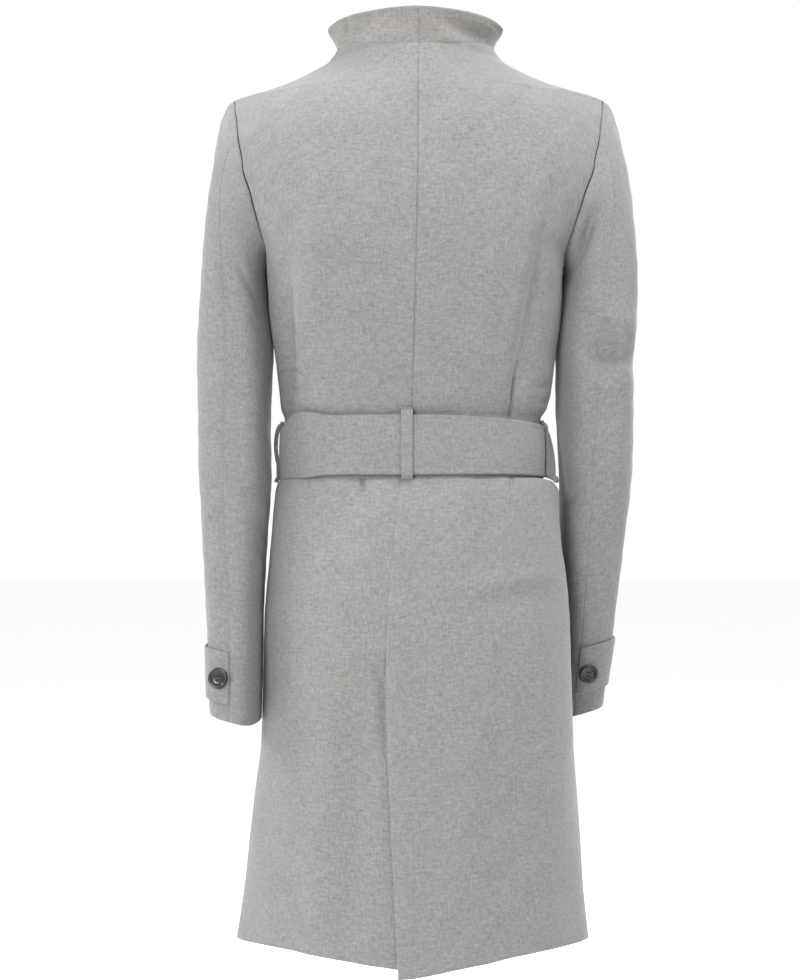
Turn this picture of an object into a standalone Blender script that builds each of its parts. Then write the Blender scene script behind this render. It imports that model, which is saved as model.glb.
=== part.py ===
"""A belted wool coat, filled out as if worn: hollow, open at neck, hem and cuffs."""
import bmesh
import bpy
import math
import numpy as np
from mathutils import Matrix, Vector

# Sizes are in metres. The coat faces -Y, the wearer's left is +X, and the
# origin is the middle of the neck opening at the height of the shoulder seams' neck ends.
NAME = "belted_coat"
WALL = 0.0025
SEAM_GAP = 0.0003
FRONT_TUCK = 0.0032
VENT_TUCK = 0.0044
FRONT_LAP = 0.035
FRONT_FADE = 0.085
VENT_TOP = -0.625
VENT_FADE = -0.600
VENT_LAP = 0.040
VENT_SPREAD = 0.060
HEM = -0.905
HEM_LIFT = 0.008
HEM_RISE = 0.0105
UNDERARM = -0.225
SHOULDER = -0.0532
PANEL_COLUMNS = 10
LAP_COLUMNS = 2

BELT_TOP = -0.380
BELT_BOTTOM = -0.4375
BELT_THICK = 0.0040
LOOP_WIDTH = 0.011
LOOP_THICK = 0.0034
LOOP_TOP = -0.3735
LOOP_BOTTOM = -0.4420
LOOP_ROWS = 14
TAIL_WIDTH = 0.057
TAIL_TOP = -0.4440
TAIL_DROPS = (0.25, 0.2116, 0.1805, 0.1555, 0.1222, 0.0888, 0.0555, 0.0305, 0.0185, 0.0090, 0.0015, 0.0)
TAIL_THICK = 0.0040
KNOT_WIDTH = 0.042
KNOT_THICK = 0.0050

SLEEVE_START = -0.270
SLEEVE_SQUARE = 2.7
FRONT_SEAM = -60.0
UPPER_COLUMNS = 8
UNDER_COLUMNS = 12
CAP_ROWS = 8
TAB_TOP = -0.608
TAB_BOTTOM = -0.658
TAB_THICK = 0.0025
BUTTON_RADIUS = 0.0100
BUTTON_THICK = 0.0040
FRONT_BUTTON_LEVELS = (-0.165, -0.275, -0.505, -0.610)

# The body's level sections: side-to-side and fore-and-aft sizes, and how square each one is.
BODY_NAMES = ("level", "half_width", "back", "front", "back_square", "front_square", "centre")
BODY_ROWS = [
    (0.0200, 0.0780, 0.0520, 0.0500, 2.00, 2.00, 0.0000),
    (0.0000, 0.0795, 0.0600, 0.0600, 1.95, 1.95, -0.0005),
    (-0.0043, 0.0811, 0.0620, 0.0610, 1.85, 1.85, -0.0005),
    (-0.0104, 0.0857, 0.0648, 0.0630, 1.70, 1.70, -0.0008),
    (-0.0165, 0.0918, 0.0675, 0.0640, 1.55, 1.55, -0.0012),
    (-0.0226, 0.1035, 0.0702, 0.0650, 1.45, 1.45, -0.0016),
    (-0.0288, 0.1173, 0.0730, 0.0670, 1.38, 1.38, -0.0020),
    (-0.0349, 0.1320, 0.0757, 0.0680, 1.34, 1.34, -0.0025),
    (-0.0410, 0.1494, 0.0785, 0.0700, 1.32, 1.32, -0.0030),
    (-0.0471, 0.1688, 0.0813, 0.0710, 1.32, 1.32, -0.0034),
    (-0.0532, 0.1900, 0.0842, 0.0730, 1.34, 1.34, -0.0035),
    (-0.0620, 0.1941, 0.0882, 0.0760, 1.48, 1.48, -0.0035),
    (-0.0800, 0.2010, 0.0955, 0.0830, 1.72, 1.72, -0.0035),
    (-0.1050, 0.2038, 0.1045, 0.0930, 1.95, 1.95, -0.0032),
    (-0.1350, 0.2021, 0.1115, 0.1020, 2.15, 2.15, -0.0026),
    (-0.1650, 0.1892, 0.1165, 0.1100, 2.35, 2.35, -0.0018),
    (-0.1900, 0.1708, 0.1190, 0.1170, 2.60, 2.60, -0.0010),
    (-0.2080, 0.1559, 0.1197, 0.1210, 2.90, 2.90, -0.0005),
    (-0.2190, 0.1501, 0.1200, 0.1230, 2.95, 3.10, 0.0000),
    (-0.2250, 0.1495, 0.1200, 0.1240, 2.90, 3.15, 0.0000),
    (-0.2700, 0.1480, 0.1180, 0.1260, 2.40, 2.90, 0.0000),
    (-0.3180, 0.1420, 0.1105, 0.1170, 2.25, 2.60, 0.0000),
    (-0.3450, 0.1390, 0.1040, 0.1100, 2.20, 2.45, 0.0000),
    (-0.3670, 0.1352, 0.0975, 0.1040, 2.20, 2.35, 0.0015),
    (-0.3780, 0.1303, 0.0935, 0.1000, 2.20, 2.25, 0.0028),
    (-0.4390, 0.1303, 0.0935, 0.1000, 2.20, 2.25, 0.0028),
    (-0.4520, 0.1440, 0.1020, 0.1060, 2.25, 2.25, -0.0022),
    (-0.4700, 0.1440, 0.1090, 0.1100, 2.28, 2.28, -0.0005),
    (-0.5000, 0.1470, 0.1170, 0.1140, 2.28, 2.30, -0.0010),
    (-0.5400, 0.1515, 0.1245, 0.1180, 2.28, 2.32, -0.0020),
    (-0.5800, 0.1545, 0.1290, 0.1210, 2.25, 2.34, -0.0020),
    (-0.6500, 0.1565, 0.1350, 0.1250, 2.12, 2.35, -0.0020),
    (-0.7000, 0.1580, 0.1375, 0.1280, 2.00, 2.35, -0.0020),
    (-0.7500, 0.1632, 0.1400, 0.1320, 1.88, 2.34, -0.0010),
    (-0.8000, 0.1682, 0.1430, 0.1360, 1.77, 2.33, 0.0000),
    (-0.8500, 0.1726, 0.1445, 0.1400, 1.66, 2.32, 0.0012),
    (-0.9100, 0.1805, 0.1460, 0.1450, 1.55, 2.30, 0.0025),
]

# How far the armhole edge reaches round each section, as a share of its depth.
ARMHOLE_NAMES = ("level", "reach")
ARMHOLE_ROWS = [
    (-0.0532, 0.0), (-0.0550, 0.070), (-0.0620, 0.147), (-0.0800, 0.335), (-0.1050, 0.469),
    (-0.1350, 0.565), (-0.1650, 0.600), (-0.1900, 0.555), (-0.2080, 0.460), (-0.2190, 0.317),
    (-0.2235, 0.167), (-0.2250, 0.0),
]

# How far each body row dips at the middle of the back and of the front.
DIP_NAMES = ("level", "back", "front")
DIP_ROWS = [
    (0.0200, 0.015, 0.070), (0.0000, 0.015, 0.070), (-0.0300, 0.006, 0.060), (-0.0532, 0.0, 0.050),
    (-0.1050, 0.0, 0.030), (-0.1650, 0.0, 0.012), (-0.2250, 0.0, 0.0), (-0.9100, 0.0, 0.0),
]

# Where the centre-back seam runs.
SEAM_NAMES = ("level", "across")
SEAM_ROWS = [
    (0.0200, -0.002), (-0.0200, -0.002), (-0.3800, 0.004), (-0.4375, 0.014), (-0.5900, 0.028),
    (-0.6500, 0.029), (-0.7450, 0.025), (-0.9100, 0.017),
]

# The sleeves' level sections below the cap, and the angle of the back seam round them.
SLEEVE_NAMES = ("level", "outer", "half_width", "centre", "half_depth", "back_seam")
LEFT_SLEEVE_ROWS = [
    (-0.2700, 0.2159, 0.0323, 0.000, 0.0660, 85.0),
    (-0.3060, 0.2166, 0.0343, 0.002, 0.0660, 85.0),
    (-0.3560, 0.2162, 0.0345, 0.005, 0.0660, 84.0),
    (-0.3920, 0.2158, 0.0340, 0.008, 0.0655, 83.0),
    (-0.4300, 0.2154, 0.0340, 0.011, 0.0650, 82.0),
    (-0.4540, 0.2140, 0.0331, 0.013, 0.0645, 82.0),
    (-0.5020, 0.2123, 0.0306, 0.018, 0.0630, 88.0),
    (-0.5500, 0.2085, 0.0273, 0.024, 0.0610, 92.0),
    (-0.6000, 0.2047, 0.0246, 0.030, 0.0590, 93.0),
    (-0.6450, 0.2031, 0.0234, 0.034, 0.0575, 93.0),
    (-0.7000, 0.1996, 0.0214, 0.039, 0.0558, 93.0),
]
RIGHT_SLEEVE_ROWS = [
    (-0.2700, 0.2225, 0.0353, -0.003, 0.0670, 98.0),
    (-0.3060, 0.2223, 0.0371, -0.007, 0.0670, 99.0),
    (-0.3540, 0.2220, 0.0370, -0.013, 0.0670, 101.0),
    (-0.3910, 0.2217, 0.0364, -0.017, 0.0660, 103.0),
    (-0.4270, 0.2219, 0.0356, -0.025, 0.0655, 106.0),
    (-0.4520, 0.2208, 0.0343, -0.031, 0.0650, 108.0),
    (-0.5020, 0.2154, 0.0313, -0.043, 0.0630, 110.0),
    (-0.5530, 0.2126, 0.0288, -0.058, 0.0610, 113.0),
    (-0.6070, 0.2097, 0.0268, -0.075, 0.0590, 117.0),
    (-0.6580, 0.2042, 0.0250, -0.089, 0.0575, 119.0),
    (-0.7100, 0.2006, 0.0235, -0.102, 0.0555, 120.0),
]
SLEEVE_LEVELS = (
    -0.292, -0.314, -0.338, -0.362, -0.386, -0.410, -0.434, -0.458,
    -0.482, -0.506, -0.532, -0.558, -0.584, TAB_TOP, -0.633, TAB_BOTTOM,
)
CUFF_LEVEL = {1: -0.674, -1: -0.682}
CUFF_TILT = {1: 0.006, -1: 0.007}
SEAM_START = {1: 57.0, -1: 60.0}
TAB_BUTTON = {1: (71.0, -0.634), -1: (93.0, -0.637)}

# The standing collar from the centre back (0) over the shoulder seam (0.5) to its front end (1).
COLLAR_NAMES = ("share", "top", "lean")
COLLAR_ROWS = [
    (0.00, 0.0190, 0.0050), (0.35, 0.0190, 0.0065), (0.50, 0.0185, 0.0105), (0.62, 0.0165, 0.0090),
    (0.80, 0.0040, 0.0055), (1.00, -0.0100, 0.0045),
]
COLLAR_STEPS = 5
COLLAR_FRONT_COLUMNS = 6
COLLAR_WALL = 0.0030

# Colours are linear red, green and blue.
WOOL = ("wool", (0.37, 0.37, 0.365), 0.9)
BUTTON = ("button", (0.006, 0.006, 0.006), 0.35)

FACE_SIGN = {"back": 1.0, "front": -1.0}
SIDES = {"left": 1, "right": -1}


class Table:
    """Rows of named sizes, read smoothly at any level."""

    def __init__(self, names, rows):
        cells = np.array(sorted(rows), dtype=float)
        self.key = cells[:, 0]
        self.columns = dict(zip(names[1:], cells[:, 1:].T))
        self.slopes = {name: self.gentle(column) for name, column in self.columns.items()}

    def gentle(self, column):
        step = np.diff(column) / np.diff(self.key)
        both = step[:-1] * step[1:]
        total = np.where(both > 0, step[:-1] + step[1:], 1.0)
        inner = np.where(both > 0, 2.0 * both / total, 0.0)
        return np.concatenate(([step[0]], inner, [step[-1]]))

    def read(self, name, key):
        place = int(np.clip(np.searchsorted(self.key, key) - 1, 0, len(self.key) - 2))
        width = self.key[place + 1] - self.key[place]
        s = (key - self.key[place]) / width
        low, high = self.columns[name][place], self.columns[name][place + 1]
        rise, fall = self.slopes[name][place] * width, self.slopes[name][place + 1] * width
        curve = low * (1 + 2 * s) * (1 - s) ** 2 + high * s * s * (3 - 2 * s)
        return curve + rise * s * (1 - s) ** 2 - fall * s * s * (1 - s)


BODY = Table(BODY_NAMES, BODY_ROWS)
ARMHOLE = Table(ARMHOLE_NAMES, ARMHOLE_ROWS)
DIP = Table(DIP_NAMES, DIP_ROWS)
SEAM = Table(SEAM_NAMES, SEAM_ROWS)
COLLAR = Table(COLLAR_NAMES, COLLAR_ROWS)
SLEEVE = {1: Table(SLEEVE_NAMES, LEFT_SLEEVE_ROWS), -1: Table(SLEEVE_NAMES, RIGHT_SLEEVE_ROWS)}
QUARTER_TURN = np.linspace(0.0, math.pi / 2, 121)

BODY_LEVELS = np.concatenate((
    np.linspace(HEM, VENT_TOP, 10),
    np.linspace(VENT_FADE, -0.500, 4),
    (-0.475, -0.4535, -0.4490, -0.4450, -0.4420, -0.4390, -0.4085, -0.3780, -0.3725, -0.3640, -0.3450),
    (-0.3200, -0.2950, -0.2700, -0.2475, -0.2250, -0.2237, -0.2190, -0.2080),
    (-0.1900, -0.1650, -0.1350, -0.1050, -0.0800, -0.0620, SHOULDER),
    (-0.0471, -0.0410, -0.0349, -0.0288, -0.0226, -0.0165, -0.0104, -0.0043, 0.0),
))


def ease(s):
    s = min(1.0, max(0.0, s))
    return s * s * (3 - 2 * s)


def unit(vector):
    return vector / np.linalg.norm(vector)


def quarter(face, level):
    """Half of one face's section, from its middle to the side, with the length run so far."""
    power = 2.0 / BODY.read(f"{face}_square", level)
    x = BODY.read("half_width", level) * np.sin(QUARTER_TURN) ** power
    y = BODY.read(face, level) * np.cos(QUARTER_TURN).clip(0.0) ** power
    run = np.concatenate(([0.0], np.cumsum(np.hypot(np.diff(x), np.diff(y)))))
    return x, y, run


def torso(face, turn, level):
    """Point of the body at a signed share of the way from the middle to the side."""
    x, y, run = quarter(face, level)
    gone = abs(turn) * run[-1]
    across = math.copysign(np.interp(gone, run, x), turn) + BODY.read("centre", level)
    return np.array([across, FACE_SIGN[face] * np.interp(gone, run, y), level])


def torso_frame(face, turn, level):
    """Outward and crosswise directions of the body there."""
    if abs(turn) > 0.9985:
        across = np.array([0.0, -math.copysign(1.0, turn) * FACE_SIGN[face], 0.0])
    else:
        low, high = max(-1.0, turn - 0.012), min(1.0, turn + 0.012)
        across = torso(face, high, level) - torso(face, low, level)
    rise = torso(face, turn, level + 0.002) - torso(face, turn, level - 0.002)
    return unit(FACE_SIGN[face] * np.cross(rise, across)), unit(across)


def turn_at(face, across, level):
    x, y, run = quarter(face, level)
    offset = across - BODY.read("centre", level)
    return math.copysign(np.interp(abs(offset), x, run) / run[-1], offset)


def side_turn(face, level):
    """Where a panel ends at the side: the side seam, the armhole or the shoulder seam."""
    if level <= UNDERARM + 1e-9 or level >= SHOULDER - 1e-9:
        return 1.0
    x, y, run = quarter(face, level)
    edge = ARMHOLE.read("reach", level) * y[0]
    return np.interp(edge, y[::-1], run[::-1]) / run[-1]


def middle_turn(face, side, level):
    if face == "back":
        return turn_at(face, SEAM.read("across", level), level)
    return turn_at(face, -side * FRONT_LAP, level - 0.96 * DIP.read(face, level))


def tucked(face, side, across, level):
    """How far a left panel is pressed in to pass under the right one."""
    if side < 0:
        return 0.0
    if face == "front":
        return FRONT_TUCK * ease((FRONT_FADE - across) / (FRONT_FADE - FRONT_LAP - 0.003))
    depth = ease((VENT_FADE - level) / (VENT_FADE - VENT_TOP))
    return VENT_TUCK * depth * ease(1.0 - (across - SEAM.read("across", level)) / VENT_SPREAD)


def panel_point(face, side, share, level, beyond=0.0):
    """Point and outward direction on a body panel, from its middle edge (0) to its side (1)."""
    end = side * side_turn(face, level)
    start = middle_turn(face, side, level)
    length = quarter(face, level)[2][-1]
    cut_back = (side - end) * (max(0.0, share - 0.35) / 0.65) ** 1.6
    turn = start + (side - start) * share - cut_back - side * beyond / length
    dip = DIP.read(face, level) * (1.0 - min(1.0, (turn / end) ** 2)) ** 2
    if face == "back":
        lift = HEM_LIFT * (1.0 - share) ** 2 if side > 0 else 0.0
        lift += HEM_RISE * math.sin(math.pi * share)
        dip -= lift * ease((VENT_TOP - level) / (VENT_TOP - HEM))
    point = torso(face, turn, level - dip)
    out, across = torso_frame(face, turn, level - dip)
    point = point - tucked(face, side, point[0], level) * out
    if share == 0 and not beyond:
        point = point + 0.5 * SEAM_GAP * side * across
    if share == 1:
        point = point - 0.5 * SEAM_GAP * side * across
    return point, out


def armhole_loop(side):
    """Armhole edge from the shoulder down the back, under the arm and up the front."""
    in_armhole = (BODY_LEVELS >= UNDERARM - 1e-9) & (BODY_LEVELS <= SHOULDER + 1e-9)
    down = BODY_LEVELS[in_armhole][::-1]
    points, outs, angles = [], [], []
    for face, levels, first in (("back", down, 0.0), ("front", down[::-1], 180.0)):
        edge = []
        for level in levels:
            turn = side * side_turn(face, level)
            edge.append(torso(face, turn, level))
            outs.append(torso_frame(face, turn, level)[0])
        run = np.concatenate(([0.0], np.cumsum(np.linalg.norm(np.diff(edge, axis=0), axis=1))))
        points.extend(edge)
        angles.extend(first + 180.0 * run / run[-1])
    points, outs, angles = np.array(points), np.array(outs), np.array(angles)
    keep = np.ones(len(angles), dtype=bool)
    keep[[len(down), len(angles) - 1]] = False
    points, outs, angles = points[keep], outs[keep], angles[keep]
    along = np.roll(points, -1, axis=0) - np.roll(points, 1, axis=0)
    beyond = side * np.cross(along, outs)
    beyond = beyond / np.linalg.norm(beyond, axis=1)[:, None]
    return angles, points, beyond


ARMHOLE_LOOP = {side: armhole_loop(side) for side in SIDES.values()}


def round_read(angles, rows, angle):
    return np.array([np.interp(angle % 360.0, angles, rows[:, k], period=360.0) for k in range(3)])


def sleeve_tube(side, angle, level):
    table = SLEEVE[side]
    wide, deep = table.read("half_width", level), table.read("half_depth", level)
    turn = math.radians(angle)
    lift = CUFF_TILT[side] * math.cos(turn) * ease((-0.450 - level) / 0.150)
    across = table.read("outer", level) - wide + wide * math.cos(turn)
    depth = (1.0 - abs(math.cos(turn)) ** SLEEVE_SQUARE) ** (1.0 / SLEEVE_SQUARE)
    fore = table.read("centre", level) + deep * math.copysign(depth, math.sin(turn))
    return np.array([side * across, fore, level + lift])


def sleeve_level(side, row):
    return SLEEVE_START + (row - 1.0) * (CUFF_LEVEL[side] - SLEEVE_START)


def sleeve(side, angle, row):
    """Sleeve point: rows 0 to 1 are the cap, rows 1 to 2 the tube down to the cuff."""
    if row > 1.0:
        return sleeve_tube(side, angle, sleeve_level(side, row))
    angles, points, beyond = ARMHOLE_LOOP[side]
    edge = round_read(angles, points, angle)
    start = edge + SEAM_GAP * round_read(angles, beyond, angle)
    end = sleeve_tube(side, angle, SLEEVE_START)
    drop = sleeve_tube(side, angle, SLEEVE_START + 0.001) - end
    top = math.cos(math.radians(angle))
    span = np.linalg.norm(end - start)
    push = unit(np.array([side, 0.0, -0.38 * max(0.0, top)])) * span * (0.17 - 0.09 * top * top)
    one, two = start + push, end + unit(drop) * span * 0.5
    s = row
    return (1 - s) ** 3 * start + 3 * s * (1 - s) ** 2 * one + 3 * s * s * (1 - s) * two + s ** 3 * end


def sleeve_frame(side, angle, row):
    """Outward and round-the-arm directions of the sleeve."""
    round_arm = sleeve(side, angle + 2.0, row) - sleeve(side, angle - 2.0, row)
    low, high = max(0.0, row - 0.01), min(2.0, row + 0.01)
    down = sleeve(side, angle, high) - sleeve(side, angle, low)
    out = unit(side * np.cross(down, round_arm))
    if row == 0:
        angles, points, beyond = ARMHOLE_LOOP[side]
        away = unit(round_read(angles, beyond, angle))
        out = unit(out - max(0.0, np.dot(out, away)) * away)
    return out, unit(round_arm)


def back_seam(side, row):
    if row >= 1.0:
        return SLEEVE[side].read("back_seam", sleeve_level(side, row))
    return SEAM_START[side] + (SLEEVE[side].read("back_seam", SLEEVE_START) - SEAM_START[side]) * ease(row)


def finish(name, mesh, material):
    """Make one named object of a finished mesh."""
    if mesh.calc_volume(signed=True) < 0:
        bmesh.ops.reverse_faces(mesh, faces=mesh.faces[:])
    bmesh.ops.triangulate(mesh, faces=mesh.faces[:], quad_method="SHORT_EDGE")
    data = bpy.data.meshes.new(name)
    mesh.to_mesh(data)
    mesh.free()
    made = bpy.data.objects.new(name, data)
    data.materials.append(materials[material[0]])
    collection.objects.link(made)
    return made


def cloth(name, columns, rows, place, leave_out=None):
    """A closed sheet of cloth: place(column, row, inner) gives each point of its two faces."""
    mesh = bmesh.new()
    bmesh.ops.create_grid(mesh, x_segments=columns, y_segments=rows, size=0.5)
    for vert in mesh.verts:
        vert.co = (round((vert.co.x + 0.5) * columns), round((vert.co.y + 0.5) * rows), 0.0)
    if leave_out:
        spare = [face for face in mesh.faces if leave_out(face.calc_center_median())]
        bmesh.ops.delete(mesh, geom=spare, context="FACES")
    bmesh.ops.solidify(mesh, geom=mesh.faces[:], thickness=1.0)
    for vert in mesh.verts:
        vert.co = place(round(vert.co.x), round(vert.co.y), round(abs(vert.co.z)))
    return finish(name, mesh, WOOL)


def body_panel(name, face, side):
    lap = LAP_COLUMNS if face == "back" and side > 0 else 0

    def place(column, row, inner):
        share = max(0, column - lap) / PANEL_COLUMNS
        beyond = max(0, lap - column) * VENT_LAP / LAP_COLUMNS
        point, out = panel_point(face, side, share, BODY_LEVELS[row], beyond)
        return point - inner * WALL * out

    vent_row = int(np.argmin(np.abs(BODY_LEVELS - VENT_TOP)))
    spare = (lambda middle: middle.x < lap and middle.y > vent_row) if lap else None
    return cloth(name, PANEL_COLUMNS + lap, len(BODY_LEVELS) - 1, place, spare)


def sleeve_rows(side):
    cap = list(np.linspace(0.0, 1.0, CAP_ROWS + 1))
    length = CUFF_LEVEL[side] - SLEEVE_START
    return cap + [1.0 + (level - SLEEVE_START) / length for level in SLEEVE_LEVELS] + [2.0]


def sleeve_angle(side, part, column, row):
    seam = back_seam(side, row)
    if part == "upper":
        return FRONT_SEAM + (seam - FRONT_SEAM) * column / UPPER_COLUMNS
    return seam + (FRONT_SEAM + 360.0 - seam) * column / UNDER_COLUMNS


def sleeve_piece(name, side, part):
    columns = UPPER_COLUMNS if part == "upper" else UNDER_COLUMNS
    rows = sleeve_rows(side)

    def place(column, row, inner):
        angle = sleeve_angle(side, part, column, rows[row])
        out, round_arm = sleeve_frame(side, angle, rows[row])
        shift = {0: 0.5, columns: -0.5}.get(column, 0.0) * SEAM_GAP
        return sleeve(side, angle, rows[row]) + shift * round_arm - inner * WALL * out

    return cloth(name, columns, len(rows) - 1, place)


def cuff_tab(name, side):
    length = CUFF_LEVEL[side] - SLEEVE_START
    levels = (TAB_TOP, -0.633, TAB_BOTTOM)

    def place(column, row, inner):
        at = 1.0 + (levels[row] - SLEEVE_START) / length
        angle = sleeve_angle(side, "upper", column, at)
        out, round_arm = sleeve_frame(side, angle, at)
        shift = {0: 0.0010, UPPER_COLUMNS: -0.0010}.get(column, 0.0)
        raised = SEAM_GAP + 0.0002 + (1 - inner) * TAB_THICK
        return sleeve(side, angle, at) + shift * round_arm + raised * out

    return cloth(name, UPPER_COLUMNS, len(levels) - 1, place)


def collar_base(side, column):
    """Neck edge the collar stands on, and the level direction out of it."""
    if column < 0:
        side, column = -side, -column
    if column <= PANEL_COLUMNS:
        point, out = panel_point("back", side, column / PANEL_COLUMNS, 0.0)
    else:
        point, out = panel_point("front", side, 1.0 - (column - PANEL_COLUMNS) / PANEL_COLUMNS, 0.0)
    return point, unit(np.array([out[0], out[1], 0.0]))


def collar_point(side, column, row):
    count = PANEL_COLUMNS + COLLAR_FRONT_COLUMNS
    base, out = collar_base(side, column)
    share = abs(column)
    share = 0.5 * share / PANEL_COLUMNS if share <= PANEL_COLUMNS else (
        0.5 + 0.5 * (share - PANEL_COLUMNS) / COLLAR_FRONT_COLUMNS)
    s = row / COLLAR_STEPS
    rise = (COLLAR.read("top", min(share, 1.0)) - base[2]) * s + SEAM_GAP
    lean = COLLAR.read("lean", min(share, 1.0)) * s ** 1.6
    return base + lean * out + np.array([0.0, 0.0, rise])


def collar_half(name, side):
    columns = PANEL_COLUMNS + COLLAR_FRONT_COLUMNS

    def place(column, row, inner):
        point = collar_point(side, column, row)
        after = collar_point(side, min(columns, column + 1), row)
        along = after - collar_point(side, column - 1, row)
        low, high = max(0, row - 1), min(COLLAR_STEPS, row + 1)
        rise = collar_point(side, column, high) - collar_point(side, column, low)
        out = unit(side * np.cross(rise, along))
        return point - inner * COLLAR_WALL * out

    return cloth(name, columns, COLLAR_STEPS, place)


def belt_stations():
    """Faces and turns round the waist, from the middle of the front by the right and the back."""
    level = 0.5 * (BELT_TOP + BELT_BOTTOM)

    def turns(face, side):
        start, end = middle_turn(face, side, level), float(side)
        return [start + (end - start) * k / PANEL_COLUMNS for k in range(PANEL_COLUMNS + 1)]

    near = 0.004
    lapped = turn_at("front", FRONT_LAP + 0.002, level)
    right_front = [("front", t) for t in turns("front", -1)]
    stations = [("front", -near)] + [spot for spot in right_front if spot[1] < -2 * near]
    stations += [("back", t) for t in turns("back", -1)[-2::-1]]
    stations += [("back", t) for t in turns("back", 1)[1:]]
    stations += [("front", t) for t in turns("front", 1)[-2::-1] if t > lapped]
    stations += [spot for spot in right_front if spot[1] > 2 * near]
    return stations + [("front", near)]


def belt(name):
    stations = belt_stations()
    levels = (BELT_BOTTOM, 0.5 * (BELT_TOP + BELT_BOTTOM), BELT_TOP)

    def place(column, row, inner):
        face, turn = stations[column]
        out = torso_frame(face, turn, levels[1])[0]
        return torso(face, turn, levels[row]) + (SEAM_GAP + (1 - inner) * BELT_THICK) * out

    return cloth(name, len(stations) - 1, len(levels) - 1, place)


def belt_loop(name, face, turn, bow):
    """A narrow strip over the belt, its ends on the coat above and below."""
    middle = 0.5 * (BELT_TOP + BELT_BOTTOM)
    levels = np.linspace(LOOP_BOTTOM, LOOP_TOP, LOOP_ROWS + 1)
    length = quarter(face, middle)[2][-1]
    out, across = torso_frame(face, turn, middle)

    def stand_off(spot, level):
        home = torso(face, spot, middle)
        edge = ease(1.0 - max(0.0, abs(level - middle) - 0.0300) / 0.0060)
        over_belt = (SEAM_GAP + BELT_THICK + 0.0006) * edge
        reach = 0.0015 if LOOP_BOTTOM + 0.001 < level < LOOP_TOP - 0.001 else 0.0
        cloth_below = max(np.dot(torso(face, spot, level + k) - home, out) for k in (-reach, 0.0, reach))
        swell = bow * max(0.0, math.cos(math.pi * (level - middle) / 0.080)) ** 0.7
        return max(over_belt, cloth_below + SEAM_GAP) + swell

    def place(column, row, inner):
        spot = max(-1.0, min(1.0, turn + (column - 1) * 0.5 * LOOP_WIDTH / length))
        home = torso(face, spot, middle)
        raised = stand_off(spot, levels[row]) + (1 - inner) * LOOP_THICK
        return home + raised * out + np.array([0.0, 0.0, levels[row] - middle])

    return cloth(name, 2, LOOP_ROWS, place)


def front_surface(across, level):
    turn = turn_at("front", across, level)
    return torso("front", turn, level)


def belt_tail(name, side):
    """A hanging end of the belt, lying down the front of the skirt."""
    columns = 4

    def place(column, row, inner):
        drop = TAIL_DROPS[row]
        spread = side * (0.0215 + 0.0180 * ease(drop / 0.06) + 0.06 * drop)
        across = spread + (column / columns - 0.5) * TAIL_WIDTH * (0.50 + 0.50 * ease(drop / 0.06))
        level = TAIL_TOP - drop - 0.04 * drop * side * (column / columns - 0.5)
        point = front_surface(across, level)
        raised = 0.0008 + (1 - inner) * TAIL_THICK
        return point + np.array([0.0, -raised, 0.0])

    return cloth(name, columns, len(TAIL_DROPS) - 1, place)


def belt_knot(name):
    """The turn of belt over the crossing, its upper and lower ends folded back towards the coat."""
    middle = 0.5 * (BELT_TOP + BELT_BOTTOM)
    columns, rows = 6, 10

    def place(column, row, inner):
        turn = math.radians(-80.0 + 160.0 * row / rows)
        half = 0.5 * (BELT_TOP - BELT_BOTTOM) + 0.0015 + (1 - inner) * KNOT_THICK
        across = (column / columns - 0.5) * (KNOT_WIDTH + 0.010 * math.sin(turn) ** 2)
        bulge = 0.0060 * (1.0 - (2.0 * column / columns - 1.0) ** 2) + (1 - inner) * KNOT_THICK
        face = front_surface(across, middle)[1] - SEAM_GAP - BELT_THICK - 0.0008
        depth = bulge * math.cos(turn) ** 0.6
        return np.array([across, face - depth, middle + half * math.sin(turn)])

    return cloth(name, columns, rows, place)


def button(name, point, out):
    """A round button with a dished face, flat on the cloth."""
    mesh = bmesh.new()
    bmesh.ops.create_cone(mesh, cap_ends=True, segments=24, radius1=BUTTON_RADIUS,
                          radius2=BUTTON_RADIUS * 0.93, depth=BUTTON_THICK)
    face = max(mesh.faces, key=lambda item: item.calc_center_median().z)
    bmesh.ops.inset_region(mesh, faces=[face], thickness=0.0022, depth=-0.0009)
    stand = Vector(point) + Vector(out) * (SEAM_GAP + 0.5 * BUTTON_THICK)
    turn = Vector((0.0, 0.0, 1.0)).rotation_difference(Vector(out)).to_matrix().to_4x4()
    bmesh.ops.transform(mesh, matrix=Matrix.Translation(stand) @ turn, verts=mesh.verts[:])
    return finish(name, mesh, BUTTON)


def cuff_button(name, side):
    angle, level = TAB_BUTTON[side]
    row = 1.0 + (level - SLEEVE_START) / (CUFF_LEVEL[side] - SLEEVE_START)
    out, round_arm = sleeve_frame(side, angle, row)
    return button(name, sleeve(side, angle, row) + (SEAM_GAP + 0.0002 + TAB_THICK) * out, out)


for spare in list(bpy.data.objects):
    bpy.data.objects.remove(spare)
collection = bpy.data.collections.new(NAME)
bpy.context.scene.collection.children.link(collection)
materials = {}
for title, colour, rough in (WOOL, BUTTON):
    made = bpy.data.materials.new(title)
    made.use_nodes = True
    shader = made.node_tree.nodes["Principled BSDF"]
    shader.inputs["Base Color"].default_value = (*colour, 1.0)
    shader.inputs["Roughness"].default_value = rough
    shader.inputs["Metallic"].default_value = 0.0
    materials[title] = made

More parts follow.
